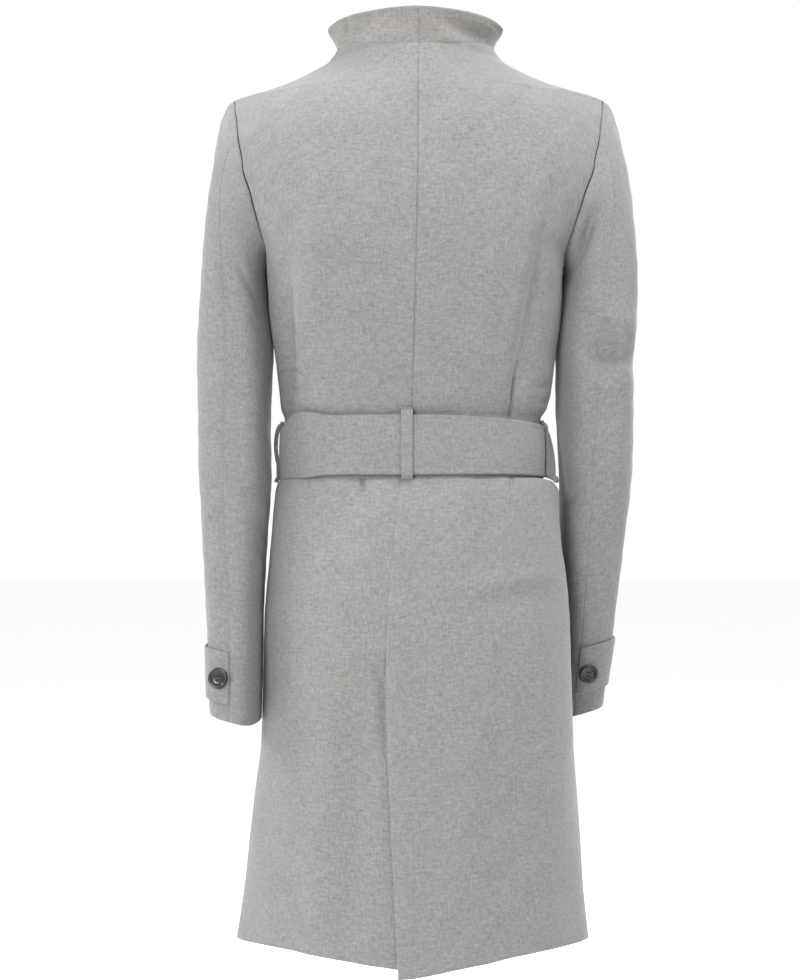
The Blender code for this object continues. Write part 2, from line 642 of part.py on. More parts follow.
for word, hand in SIDES.items():
    body_panel(f"back_{word}", "back", hand)
    body_panel(f"front_{word}", "front", hand)
    sleeve_piece(f"sleeve_upper_{word}", hand, "upper")
    sleeve_piece(f"sleeve_under_{word}", hand, "under")
    cuff_tab(f"cuff_tab_{word}", hand)
    cuff_button(f"cuff_button_{word}", hand)
    collar_half(f"collar_{word}", hand)
    belt_tail(f"belt_tail_{word}", hand)
belt("belt")
belt_knot("belt_knot")
belt_loop("belt_loop_back", "back", turn_at("back", 0.0085, -0.4085), 0.0)
belt_loop("belt_loop_left", "back", 0.955, 0.0012)
belt_loop("belt_loop_right", "back", -0.880, 0.0030)
for number, height in enumerate(FRONT_BUTTON_LEVELS, 1):
    middle_front = turn_at("front", 0.0, height)
    outward = torso_frame("front", middle_front, height)[0]
    button(f"front_button_{number}", torso("front", middle_front, height), outward)
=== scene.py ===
"""Looks of the belted coat: wool shells with seams, creases and stitching on the fixed frame."""
import bmesh
import bpy
import math
import numpy as np
from mathutils import Matrix, Vector


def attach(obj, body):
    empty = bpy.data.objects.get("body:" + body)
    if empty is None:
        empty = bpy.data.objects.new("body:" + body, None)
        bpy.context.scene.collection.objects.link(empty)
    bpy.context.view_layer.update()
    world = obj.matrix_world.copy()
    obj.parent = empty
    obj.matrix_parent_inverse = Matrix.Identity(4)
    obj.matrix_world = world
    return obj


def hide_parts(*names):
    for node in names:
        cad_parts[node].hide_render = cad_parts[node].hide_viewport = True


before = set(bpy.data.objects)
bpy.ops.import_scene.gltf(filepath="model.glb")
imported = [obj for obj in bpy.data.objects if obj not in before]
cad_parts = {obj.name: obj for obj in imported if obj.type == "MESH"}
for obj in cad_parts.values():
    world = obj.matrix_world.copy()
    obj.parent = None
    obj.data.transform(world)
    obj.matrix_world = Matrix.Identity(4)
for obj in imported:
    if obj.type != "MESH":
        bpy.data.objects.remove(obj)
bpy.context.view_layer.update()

# Sizes are in metres, but lengths in the tables are in millimetres.
# The coat faces -Y and the wearer's left is +X.
MM = 0.001
WALL = 0.0025
FRONT_TUCK = 0.0032
VENT_TUCK = 0.0044
FRONT_LAP = 0.035
FRONT_FADE = 0.085
LAP_MARGIN = 0.003
VENT_TOP = -0.625
VENT_FADE = -0.6
VENT_LAP = 0.04
VENT_SPREAD = 0.06
VENT_CLOSE = 0.008
HEM = -0.905
HEM_LIFT = 0.008
HEM_RISE = 0.0105
UNDERARM = -0.225
SHOULDER = -0.0532
CUT_START = 0.35
CUT_POWER = 1.6
DIP_BLEND = 0.035
DIP_SHARE = 0.96
TOUCH = 1e-9
MERGE = 1e-6
TURN_STEP = 0.01
FEEL_STEP = 0.002
ANGLE_STEP = 2.0

BELT_TOP = -0.38
BELT_BOTTOM = -0.4375
BELT_MIDDLE = 0.5 * (BELT_TOP + BELT_BOTTOM)
BELT_THICK = 0.004
LOOP_WIDTH = 0.011
LOOP_THICK = 0.0034
LOOP_TOP = -0.3735
LOOP_BOTTOM = -0.442
TAIL_WIDTH = 0.057
TAIL_TOP = -0.444
TAIL_LENGTH = 0.25
TAIL_THICK = 0.004
TAIL_CLEAR = 0.0008
TAIL_START = 0.0215
TAIL_WIDEN = 0.018
TAIL_WIDEN_REACH = 0.06
TAIL_GATHER = 0.5
TAIL_SPLAY = 0.06
TAIL_SLANT = 0.04
TAIL_SWAY = 0.0012
TAIL_SWAY_REACH = 0.1
TAIL_SWAY_WAVE = 0.115
TAIL_SWAY_START = 0.9
KNOT_WIDTH = 0.042
KNOT_THICK = 0.005
KNOT_CLEAR = 0.0008
KNOT_MARGIN = 0.0015
KNOT_FLARE = 0.01
KNOT_BULGE = 0.006
KNOT_TURN = 80.0
KNOT_CURVE = 0.6

SLEEVE_START = -0.27
SLEEVE_SQUARE = 3.1
TILT_TOP = -0.45
TILT_REACH = 0.15
CAP_STEP = 0.001
CAP_FALL = 0.38
CAP_PUSH = 0.17
CAP_EASE = 0.09
CAP_LEAD = 0.5
FRONT_SEAM = -60.0
TAB_TOP = -0.608
TAB_BOTTOM = -0.658
TAB_THICK = 0.0025
FRONT_BUTTON_LEVELS = (-0.165, -0.275, -0.505, -0.61)
COLLAR_WALL = 0.003
COLLAR_END = 0.6
COLLAR_SINK = 0.0005
COLLAR_HEIGHT = 0.03
COLLAR_CURL = 1.6
NECK_LEVELS = (-0.006, -0.003, 0.0)

# How the cloth is sewn: the dip along a seam, the round of a folded edge, the rows of stitches.
SEAM_GAP = 0.0003
REST_GAP = 0.0005
SEAM_DIP = 0.0006
SEAM_SPREAD = 0.006
SEAM_GROOVE = 0.0008
SEAM_GROOVE_WIDTH = 0.0012
NECK_SEAM = 0.25
SLEEVE_SEAM = 0.5
COLLAR_SEAM = 0.7
SKIRT_SEAM = 0.55
SKIRT_SEAM_FADE = 0.05
SEAM_WANDER = ((0.18, 61.0, 0.6), (0.12, 173.0, 2.0))
FOLD_ROUND = 0.0013
FOLD_SHARE = 0.92
SHARP_ANGLE = math.radians(62.0)
STRAP_ROUND = 0.0018
LOOP_ROUND = 0.0011
STITCH_LENGTH = 0.003
STITCH_STEP = 0.004
STITCH_RADIUS = 0.00032
STITCH_INSET = 0.0052
GROOVE_DEPTH = 0.00035
GROOVE_WIDTH = 0.0011
LOOP_CLEAR = 0.0001
LOOP_SINK = 0.0006
LOOP_DROP = 0.004
LOOP_NARROW = 0.4
LOOP_FEEL = 0.0015
LOOP_FOOT = 0.006
LOOP_CURVE = 0.7
BELT_FADE = 0.022
BELT_CUP = 0.107
BELT_CUP_WIDTH = 0.017
BELT_CUP_SWELL = 0.0022
BELT_CUP_RISE = 0.005
BELT_CUP_FALL = 0.003
BELT_SWELL = 0.0004
BELT_SWELL_WAVE = 0.151
BELT_WAVE = 0.0005
BELT_WAVE_LENGTH = 0.232
BELT_WAVE_START = 0.8
BELT_DROP = 0.008
BELT_LOW_DROP = 0.0035
BELT_DROP_START = 0.114
BELT_DROP_REACH = 0.018
BELT_RIGHT_DROP = 0.0055
BELT_RIGHT_START = -0.01
BELT_RIGHT_REACH = 0.14
BELT_BACK_START = 0.06
BELT_BACK_REACH = 0.05
TAB_CLEAR = 1.2
TAB_SINK = 0.0012
TAB_SINK_REACH = 0.007
TAB_STILL = 0.06
ARM_DEGREE = 0.0009
CREASE_END = 0.06
CREASE_FADE = 0.8
CREASE_CALM = 0.015
CAP_CALM = 0.02
RIPPLE_CALM = 0.04
RIPPLE_SHIFT = 1.7

# Rows and columns of the shells, with the lengths that their close steps at the edges are for.
CLOTH_STEP = 0.003
EDGE_STEPS = (0.0, 0.0006, 0.0013, 0.0024, 0.004)
LOOP_EDGE_STEPS = (0.0, 0.0003, 0.0008)
LAP_SHARES = (1.0, 0.985, 0.965, *np.arange(0.94, 0.1, -0.08), 0.07, 0.03)
PANEL_COLUMNS = 66
PANEL_WIDTH = 0.2
HEM_STEP = 0.0068
FINE_LOW = -0.475
FINE_HIGH = -0.29
FINE_ROWS = 118
YOKE_ROWS = 60
NECK_START = -0.005
NECK_ROWS = 30
ARMHOLE_STEPS = 91
SLEEVE_WIDTHS = {"upper": 0.13, "under": 0.2}
CAP_ROWS = 60
CAP_LENGTH = 0.22
TUBE_ROWS = 120
TUBE_LENGTH = 0.41
TAB_COLUMNS = 44
EDGING_ROWS = 14
COLLAR_COLUMNS = {"back": (44, 0.12), "front": (30, 0.09)}
COLLAR_SKIP = 3
STRAP_ROWS = 18
BELT_END_TURNS = (0.004, 0.007, 0.011, 0.016)
BELT_FRONT_TURN = 0.03
BELT_COLUMNS = 60
LOOP_ROWS = 45
LOOP_COLUMNS = 6
TAIL_COLUMNS = 70
KNOT_ROWS = 61

# Where each kind of piece lies in the weave, in metres, so that neighbours differ.
WEAVE_LAY = {
    "body": (1.3, 2.1), "upper": (3.1, 0.7), "under": (3.1, 2.9), "tab": (4.3, 5.1), "collar": (5.7, 6.3),
    "belt": (7.1, 0.3), "loop": (8.3, 0.2), "tail": (9.1, 0.4), "knot": (9.9, 3.3),
}
LOOP_LAY_STEP = 0.3
WEAVE_TURN = 0.35
WEAVE_TURN_WIDTH = 0.3
# Threads of the wool as scale, detail and weight: flecks, warp and weft, and the cloudiness over all.
THREAD_ROWS = (
    ((380.0, 380.0, 1.0), 3.0, 0.32), ((450.0, 130.0, 1.0), 2.5, 0.32), ((115.0, 450.0, 1.0), 2.5, 0.36),
)
CLOUD_ROW = ((26.0, 34.0, 1.0), 2.0, 0.1)

# The body's level sections: side-to-side and fore-and-aft sizes, and how square each one is.
BODY_NAMES = ("level", "half_width", "back", "front", "back_square", "front_square", "centre")
BODY_ROWS = [
    (20, 78, 52, 50, 2, 2, 0),
    (0, 79.5, 60, 60, 1.95, 1.95, -0.5),
    (-4.3, 81.1, 62, 61, 1.85, 1.85, -0.5),
    (-10.4, 85.7, 64.8, 63, 1.7, 1.7, -0.8),
    (-16.5, 91.8, 67.5, 64, 1.55, 1.55, -1.2),
    (-22.6, 103.5, 70.2, 65, 1.45, 1.45, -1.6),
    (-28.8, 117.3, 73, 67, 1.38, 1.38, -2),
    (-34.9, 132, 75.7, 68, 1.34, 1.34, -2.5),
    (-41, 149.4, 78.5, 70, 1.32, 1.32, -3),
    (-47.1, 168.8, 81.3, 71, 1.32, 1.32, -3.4),
    (-53.2, 190, 84.2, 73, 1.34, 1.34, -3.5),
    (-62, 194.1, 88.2, 76, 1.48, 1.48, -3.5),
    (-80, 201, 95.5, 83, 1.72, 1.72, -3.5),
    (-105, 203.8, 104.5, 93, 1.95, 1.95, -3.2),
    (-135, 202.1, 111.5, 102, 2.15, 2.15, -2.6),
    (-165, 189.2, 116.5, 110, 2.35, 2.35, -1.8),
    (-190, 170.8, 119, 117, 2.6, 2.6, -1),
    (-208, 155.9, 119.7, 121, 2.9, 2.9, -0.5),
    (-219, 150.1, 120, 123, 2.95, 3.1, 0),
    (-225, 149.5, 120, 124, 2.9, 3.15, 0),
    (-270, 148, 118, 126, 2.4, 2.9, 0),
    (-318, 142, 110.5, 117, 2.25, 2.6, 0),
    (-345, 139, 104, 110, 2.2, 2.45, 0),
    (-367, 135.2, 97.5, 104, 2.2, 2.35, 1.5),
    (-378, 130.3, 93.5, 100, 2.2, 2.25, 2.8),
    (-437.8, 130.3, 93.5, 100, 2.2, 2.25, 2.8),
    (-439.2, 136.8, 94.8, 100.8, 2.2, 2.25, 0.4),
    (-441.5, 139.6, 96, 101.6, 2.21, 2.25, -0.6),
    (-452, 144, 102, 106, 2.25, 2.25, -2.2),
    (-470, 144.8, 109, 110, 2.28, 2.28, -1.4),
    (-500, 147, 117, 114, 2.28, 2.3, -1),
    (-540, 151.5, 124.5, 118, 2.28, 2.32, -2),
    (-580, 154.5, 129, 121, 2.25, 2.34, -2),
    (-650, 156.5, 135, 125, 2.12, 2.35, -2),
    (-700, 158, 137.5, 128, 2, 2.35, -2),
    (-750, 163.2, 140, 132, 1.88, 2.34, -1),
    (-800, 168.2, 143, 136, 1.77, 2.33, 0),
    (-850, 172.6, 144.5, 140, 1.66, 2.32, 1.2),
    (-910, 180.5, 146, 145, 1.55, 2.3, 2.5),
]

# How far the armhole edge reaches round each section, as a share of its depth.
ARMHOLE_NAMES = ("level", "reach")
ARMHOLE_ROWS = [
    (-53.2, 0), (-55, 0.07), (-62, 0.147), (-80, 0.335), (-105, 0.469), (-135, 0.565), (-165, 0.6),
    (-190, 0.555), (-208, 0.46), (-219, 0.317), (-223.5, 0.167), (-225, 0),
]

# How far each body row dips at the middle of the back and of the front.
DIP_NAMES = ("level", "back", "front")
DIP_ROWS = [
    (20, 15, 70), (0, 15, 70), (-30, 6, 60), (-53.2, 0, 50), (-105, 0, 30), (-165, 0, 12), (-225, 0, 0),
    (-910, 0, 0),
]

# Where the centre-back seam runs.
SEAM_NAMES = ("level", "across")
SEAM_ROWS = [
    (20, -2), (-20, -2), (-380, 4), (-437.5, 14), (-590, 28), (-650, 29), (-745, 25), (-910, 17),
]

# The sleeves' level sections below the cap, and the angle of the back seam round them.
SLEEVE_NAMES = ("level", "outer", "half_width", "centre", "half_depth", "back_seam")
LEFT_SLEEVE_ROWS = [
    (-270, 215.9, 32.3, 0, 66, 85),
    (-306, 216.6, 34.3, 2, 66, 85),
    (-356, 216.2, 34.5, 5, 66, 84),
    (-392, 215.8, 34, 8, 65.5, 83),
    (-430, 215.4, 34, 11, 65, 82),
    (-454, 214, 33.1, 13, 64.5, 82),
    (-502, 212.3, 30.6, 18, 63, 88),
    (-550, 208.5, 27.3, 24, 61, 92),
    (-600, 204.7, 24.6, 30, 59, 93),
    (-645, 203.1, 23.4, 34, 57.5, 93),
    (-700, 199.6, 21.4, 39, 55.8, 93),
]
RIGHT_SLEEVE_ROWS = [
    (-270, 222.5, 35.3, -3, 67, 98),
    (-306, 222.3, 37.1, -7, 67, 99),
    (-354, 222, 37, -13, 67, 101),
    (-391, 221.7, 36.4, -17, 66, 103),
    (-427, 221.9, 35.6, -25, 65.5, 106),
    (-452, 220.8, 34.3, -31, 65, 108),
    (-502, 215.4, 31.3, -43, 63, 110),
    (-553, 212.6, 28.8, -58, 61, 113),
    (-607, 209.7, 26.8, -75, 59, 117),
    (-658, 204.2, 25, -89, 57.5, 119),
    (-710, 200.6, 23.5, -102, 55.5, 120),
]
CUFF_LEVEL = {1: -0.674, -1: -0.682}
CUFF_TILT = {1: 0.006, -1: 0.007}
SEAM_START = {1: 57.0, -1: 60.0}
TAB_BUTTON = {1: (71.0, -0.634), -1: (93.0, -0.637)}

# The standing collar from the centre back (0) over the shoulder seam (0.5) to its front end (1).
COLLAR_NAMES = ("share", "top", "lean")
COLLAR_ROWS = [
    (0, 19, 5), (0.2, 19.6, 5.8), (0.35, 20.3, 6.5), (0.42, 20.5, 7.2), (0.5, 20, 10.5),
    (0.62, 17.2, 9), (0.8, 4, 5.5), (1, -10, 4.5),
]

# Creases: two ends as (across, level), how far the middle bows aside, the height of the ridge
# (a trough is negative) and its half-width. Sleeve creases give angles in degrees for across.
CREASE_NAMES = ("across_1", "level_1", "across_2", "level_2", "bow", "height", "spread")
CREASES = {
    "back": [
        (100, -135, 102, -295, 4, 4.5, 13),
        (127.5, -225, 126.5, -388, 0, -8.5, 9.5),
        (111, -210, 114.5, -378, 0, 3, 6.2),
        (-131, -165, -95, -378, 0, -7.8, 9.2),
        (-112, -190, -80, -360, 0, 2.6, 12),
        (-99, -330, -93, -392, 0, -4.2, 2),
        (114, -379, -114, -379, 0, -1.9, 1.9),
        (114, -438.4, -114, -438.4, 0, -1.7, 1.9),
        (140, -322, 117, -324, 1, -1.6, 2.4),
        (139, -333, 114, -334, -1, -2.2, 2.4),
        (138, -342, 116, -344, 1, -1.8, 2.2),
        (137, -350, 112, -353, 0, -2.6, 2.4),
        (136, -359, 115, -361, 1, -1.8, 2.2),
        (134, -367, 111, -370, 1, -2.4, 2.4),
        (-137, -346, -116, -351, 1, -1.2, 3.2),
        (-135, -361, -121, -364, 0, -1, 2.8),
        (51.3, -436, 50, -456, 0, -3.6, 2.6),
        (-93.5, -436, -92.5, -456, 0, -3.6, 2.4),
        (105, -440, 110, -478, 0, -2.4, 5.5),
        (-30, -450, -52, -482, 0, 2.2, 12),
        (-50, -548, -133.5, -532.5, 3, 3.4, 9),
        (-55, -566, -130, -552, 3, -1.8, 9),
        (60, -460, 115, -530, 4, -1.5, 10),
        (85, -600, 100, -900, 4, 4.2, 20),
        (55, -660, 60, -900, 0, -3.6, 16),
        (-75, -620, -85, -880, 6, -4, 20),
        (-125, -600, -140, -900, 0, 3, 18),
        (12, -700, 4, -900, 0, 1.5, 8),
        (33.5, -622, 28.5, -700, 0, -4.5, 4.5),
    ],
    "front": [
        (30, -370, 85, -270, 3, -2.2, 9),
        (-40, -375, -100, -285, 4, -2.5, 10),
        (60, -445, 75, -520, 0, -2.5, 7),
        (-55, -445, -75, -540, 2, -2.2, 8),
        (100, -445, 105, -490, 0, -2.2, 5),
        (-105, -445, -110, -485, 0, -2, 5),
        (130, -200, 95, -250, 2, -1.8, 8),
        (-130, -205, -90, -245, 2, -1.8, 8),
        (90, -580, 110, -900, 3, 3, 20),
        (-80, -600, -100, -900, 0, 3, 18),
        (-120, -620, -140, -880, 0, -2.5, 15),
        (50, -700, 55, -900, 0, -2, 16),
    ],
}
SLEEVE_CREASES = {
    1: [
        (128, -478, 172, -500, 0, -2.2, 5),
        (135, -492, 180, -522, 2, -2, 5),
        (120, -455, 165, -462, 0, -1.5, 6),
        (205, -405, 285, -430, 3, -3, 8),
        (200, -440, 290, -455, 2, -2.8, 7),
        (215, -375, 280, -395, 0, -2, 8),
        (100, -215, 150, -262, 4, -2.5, 8),
        (30, -200, 35, -400, 0, 2, 20),
        (178, -205, 178, -350, 0, 3.6, 24),
        (186, -560, 186, -715, 0, 2.8, 16),
    ],
    -1: [
        (120, -316, 26, -322, 3, -11, 12),
        (36, -288, 100, -282, 0, 5, 15),
        (70, -350, 110, -352, 0, 1.8, 14),
        (108, -182, 156, -238, 3, -11, 7),
        (205, -395, 285, -415, 3, -3, 8),
        (200, -425, 290, -445, -2, -2.8, 7),
        (130, -452, 175, -470, 0, -1.8, 6),
        (105, -470, 140, -500, 3, -1.5, 9),
        (180, -205, 180, -330, 0, 3.4, 24),
    ],
}
# Lines on the panels that need closer columns, such as the dart and the tucks under the belt.
FINE_LINES = {("back", -1): ((-0.0958, -0.36),), ("back", 1): ((0.05, -0.455),)}
FINE_STEPS = (
    -0.006, -0.0045, -0.0032, -0.0022, -0.0014, -0.0007, 0.0, 0.0007, 0.0014, 0.0022, 0.0032, 0.0045,
)
FINE_WIDTH = 0.18
# Collar and knot creases give the run along the piece and the height on it.
COLLAR_CREASES = {
    1: [
        (83, 0, 81, 34, 0, -3, 2.2),
        (44, 30, 72, 4, 2, -3, 8.5),
        (15, 8, 50, 6, 0, 1.2, 7),
    ],
    -1: [
        (24, 24, 88, 3, 3, -3.6, 6.2),
        (45, 30, 95, 16, 2, 1.6, 5.5),
        (14, 6, 46, 4, 0, 1, 6),
    ],
}
KNOT_CREASES = [
    (-12, 26, -4, -24, 2, -1.4, 3),
    (10, 25, 6, -20, -2, -1.2, 3.2),
    (-16, 10, 2, 27, 0, -1, 2.6),
]
RIPPLES = (
    (0.11, 0.35, 0.3, 0.0006), (0.071, -0.55, 1.9, 0.0004),
    (0.047, 0.15, 4.2, 0.0003), (0.033, 1.1, 2.6, 0.0002),
)

# The button's turned outline as radius and height, and its holes.
BUTTON_PROFILE = [
    (0, 2.4), (1.6, 2.4), (3.4, 2.4), (6, 2.5), (7, 3.4), (8, 3.9), (9.1, 3.8), (9.8, 2.9), (10, 1.9),
    (9.5, 0.8), (8.4, 0), (0, 0),
]
BUTTON_STEPS = 32
HOLE_NEAR = 0.0016
HOLE_FAR = 0.0034
HOLE_LEVEL = 0.002
HOLE_REACH = 2.1 * math.pi / BUTTON_STEPS
HOLE_RIM = 0.0002
HOLE_DEPTH = 0.0012
HOLE_OFFSET = 0.0018
THREAD_LEVEL = 0.0026
THREAD_HALF = 0.0024
THREAD_RADIUS = 0.0004

FACE_SIGN = {"back": 1.0, "front": -1.0}
SIDES = {"left": 1, "right": -1}
NOT_LENGTHS = ("share", "reach", "back_square", "front_square", "back_seam")


class Table:
    """Rows of named sizes, read smoothly at any level."""

    def __init__(self, names, rows):
        units = [1.0 if name in NOT_LENGTHS else MM for name in names]
        cells = np.array(sorted(rows), dtype=float) * units
        self.key = cells[:, 0]
        self.columns = dict(zip(names[1:], cells[:, 1:].T))
        self.slopes = {name: self.gentle(column) for name, column in self.columns.items()}

    def gentle(self, column):
        step = np.diff(column) / np.diff(self.key)
        both = step[:-1] * step[1:]
        total = np.where(both > 0, step[:-1] + step[1:], 1.0)
        inner = np.where(both > 0, 2.0 * both / total, 0.0)
        return np.concatenate(([step[0]], inner, [step[-1]]))

    def read(self, name, key):
        key = np.asarray(key, dtype=float)
        place = np.clip(np.searchsorted(self.key, key) - 1, 0, len(self.key) - 2)
        width = self.key[place + 1] - self.key[place]
        s = (key - self.key[place]) / width
        low, high = self.columns[name][place], self.columns[name][place + 1]
        rise, fall = self.slopes[name][place] * width, self.slopes[name][place + 1] * width
        curve = low * (1 + 2 * s) * (1 - s) ** 2 + high * s * s * (3 - 2 * s)
        return curve + rise * s * (1 - s) ** 2 - fall * s * s * (1 - s)


BODY = Table(BODY_NAMES, BODY_ROWS)
ARMHOLE = Table(ARMHOLE_NAMES, ARMHOLE_ROWS)
DIP = Table(DIP_NAMES, DIP_ROWS)
SEAM = Table(SEAM_NAMES, SEAM_ROWS)
COLLAR = Table(COLLAR_NAMES, COLLAR_ROWS)
SLEEVE = {1: Table(SLEEVE_NAMES, LEFT_SLEEVE_ROWS), -1: Table(SLEEVE_NAMES, RIGHT_SLEEVE_ROWS)}


def ease(s):
    s = np.clip(s, 0.0, 1.0)
    return s * s * (3 - 2 * s)


def unit(vectors):
    return vectors / np.linalg.norm(vectors, axis=-1, keepdims=True)


def swing(count):
    """Shares from 0 to 1, slowly at first and at last."""
    return 0.5 - 0.5 * np.cos(np.linspace(0.0, math.pi, count))


def run_along(points):
    """How far along a line each of its points lies."""
    steps = np.linalg.norm(np.diff(points, axis=0), axis=1)
    return np.concatenate(([0.0], np.cumsum(steps)))


def read_along(places, rows, at, period=None):
    """Points or directions between the given ones, on a line or round a loop."""
    return np.stack([np.interp(at, places, column, period=period) for column in rows.T], axis=-1)


def nearest(values, target):
    return int(np.argmin(np.abs(values - target)))


def spread(count, width, tight=EDGE_STEPS):
    """Shares from 0 to 1 across a width, set closer together at both edges."""
    edge = np.array(tight) / width
    middle = np.linspace(edge[-1], 1.0 - edge[-1], max(2, count))
    return np.concatenate((edge[:-1], middle, 1.0 - edge[-2::-1]))


QUARTER_STEPS = 240
QUARTER_TURN = np.linspace(0.0, math.pi / 2, QUARTER_STEPS + 1)
LEVEL_STEP = 0.0015
LEVEL_LOW = -0.915
LEVEL_HIGH = 0.02
SECTION_LEVELS = np.arange(LEVEL_LOW, LEVEL_HIGH, LEVEL_STEP)
TURN_COUNT = 200
JUST_UNDER = 0.001


def quarter(face, level):
    """Half of one face's section, from its middle to the side, with the length run so far."""
    power = 2.0 / BODY.read(f"{face}_square", level)
    x = BODY.read("half_width", level) * np.sin(QUARTER_TURN) ** power
    y = BODY.read(face, level) * np.cos(QUARTER_TURN).clip(0.0) ** power
    run = np.concatenate(([0.0], np.cumsum(np.hypot(np.diff(x), np.diff(y)))))
    return x, y, run


def section_sheet(face):
    """The face's sections at even turns, one row for each level."""
    turns = np.linspace(0.0, 1.0, TURN_COUNT + 1)
    rows = []
    for level in SECTION_LEVELS:
        x, y, run = quarter(face, level)
        rows.append((np.interp(turns * run[-1], run, x), np.interp(turns * run[-1], run, y)))
    return np.array(rows).transpose(1, 0, 2)


SECTIONS = {face: section_sheet(face) for face in FACE_SIGN}


def torso(face, turn, level):
    """Points of the body at signed shares of the way from the middle to the side."""
    turn, level = np.broadcast_arrays(np.asarray(turn, dtype=float), np.asarray(level, dtype=float))
    last = len(SECTION_LEVELS) - 1 - JUST_UNDER
    row = np.clip((level - LEVEL_LOW) / LEVEL_STEP, 0, last)
    column = np.clip(np.abs(turn), 0.0, 1.0) * (TURN_COUNT - JUST_UNDER)
    r, c = row.astype(int), column.astype(int)
    s, t = row - r, column - c
    sheet = SECTIONS[face]
    low = sheet[:, r, c] * (1 - t) + sheet[:, r, c + 1] * t
    high = sheet[:, r + 1, c] * (1 - t) + sheet[:, r + 1, c + 1] * t
    x, y = low * (1 - s) + high * s
    across = np.sign(turn) * x + BODY.read("centre", level)
    return np.stack((across, FACE_SIGN[face] * y, level), axis=-1)


def turn_at(face, across, level):
    x, y, run = quarter(face, level)
    offset = across - BODY.read("centre", level)
    return math.copysign(np.interp(abs(offset), x, run) / run[-1], offset)


def side_turn(face, level):
    """Where a panel ends at the side: the side seam, the armhole or the shoulder seam."""
    if level <= UNDERARM + TOUCH or level >= SHOULDER - TOUCH:
        return 1.0
    x, y, run = quarter(face, level)
    edge = ARMHOLE.read("reach", level) * y[0]
    return np.interp(edge, y[::-1], run[::-1]) / run[-1]


def middle_turn(face, side, level):
    if face == "back":
        return turn_at(face, SEAM.read("across", level), level)
    return turn_at(face, -side * FRONT_LAP, level - DIP_SHARE * DIP.read(face, level))


def tucked(face, side, across, level):
    """How far a left panel is pressed in to pass under the right one."""
    if side < 0:
        return np.zeros_like(across)
    if face == "front":
        return FRONT_TUCK * ease((FRONT_FADE - across) / (FRONT_FADE - FRONT_LAP - LAP_MARGIN))
    depth = ease((VENT_FADE - level) / (VENT_FADE - VENT_TOP))
    return VENT_TUCK * depth * ease(1.0 - (across - SEAM.read("across", level)) / VENT_SPREAD)


def grid_facing(points):
    """Directions square to a grid of points."""
    return unit(np.cross(np.gradient(points, axis=1), np.gradient(points, axis=0)))


def grid_out(points):
    """Outward directions of a grid of points that lies round the upright line through the origin."""
    out = grid_facing(points)
    return out if np.sum(out[..., :2] * points[..., :2]) > 0 else -out


def panel_points(face, side, shares, levels, beyond=0.0):
    """Body panel points: a row for each level, from the middle edge (share 0) to the side (1)."""
    end = np.array([side * side_turn(face, level) for level in levels])[:, None]
    start = np.array([middle_turn(face, side, level) for level in levels])[:, None]
    length = np.array([quarter(face, level)[2][-1] for level in levels])[:, None]
    share, level = shares[None, :], levels[:, None]
    cut_back = (side - end) * (np.maximum(0.0, share - CUT_START) / (1.0 - CUT_START)) ** CUT_POWER
    turn = start + (side - start) * share - cut_back - side * beyond / length
    dip_end = side - (side - end) * ease((SHOULDER - level) / DIP_BLEND)
    dip = DIP.read(face, level) * (1.0 - np.minimum(1.0, (turn / dip_end) ** 2)) ** 2
    if face == "back":
        lift = HEM_LIFT * (1.0 - share) ** 2 if side > 0 else 0.0
        lift = lift + HEM_RISE * np.sin(math.pi * share)
        dip = dip - lift * ease((VENT_TOP - level) / (VENT_TOP - HEM))
    return torso(face, turn, level - dip)


def armhole_loop(side):
    """Armhole edge from the shoulder down the back, under the arm and up the front."""
    down = SHOULDER + (UNDERARM - SHOULDER) * swing(ARMHOLE_STEPS)
    points, angles = [], []
    for face, levels, first in (("back", down, 0.0), ("front", down[::-1], 180.0)):
        turns = np.array([side * side_turn(face, level) for level in levels])
        points.append(torso(face, turns, levels))
        run = run_along(points[-1])
        angles.append(first + 180.0 * run / run[-1])
    keep = np.ones(2 * ARMHOLE_STEPS, dtype=bool)
    keep[[ARMHOLE_STEPS, -1]] = False
    return np.concatenate(angles)[keep], np.concatenate(points)[keep]


ARMHOLE_LOOP = {side: armhole_loop(side) for side in SIDES.values()}


def sleeve_tube(side, angle, level):
    table = SLEEVE[side]
    wide, deep = table.read("half_width", level), table.read("half_depth", level)
    turn = np.radians(angle)
    lift = CUFF_TILT[side] * np.cos(turn) * ease((TILT_TOP - level) / TILT_REACH)
    across = table.read("outer", level) - wide + wide * np.cos(turn)
    depth = (1.0 - np.abs(np.cos(turn)) ** SLEEVE_SQUARE).clip(0.0) ** (1.0 / SLEEVE_SQUARE)
    fore = table.read("centre", level) + deep * np.copysign(depth, np.sin(turn))
    return np.stack((side * across, fore, level + lift), axis=-1)


def sleeve_level(side, row):
    return SLEEVE_START + (row - 1.0) * (CUFF_LEVEL[side] - SLEEVE_START)


def sleeve_row(side, level):
    return 1.0 + (level - SLEEVE_START) / (CUFF_LEVEL[side] - SLEEVE_START)


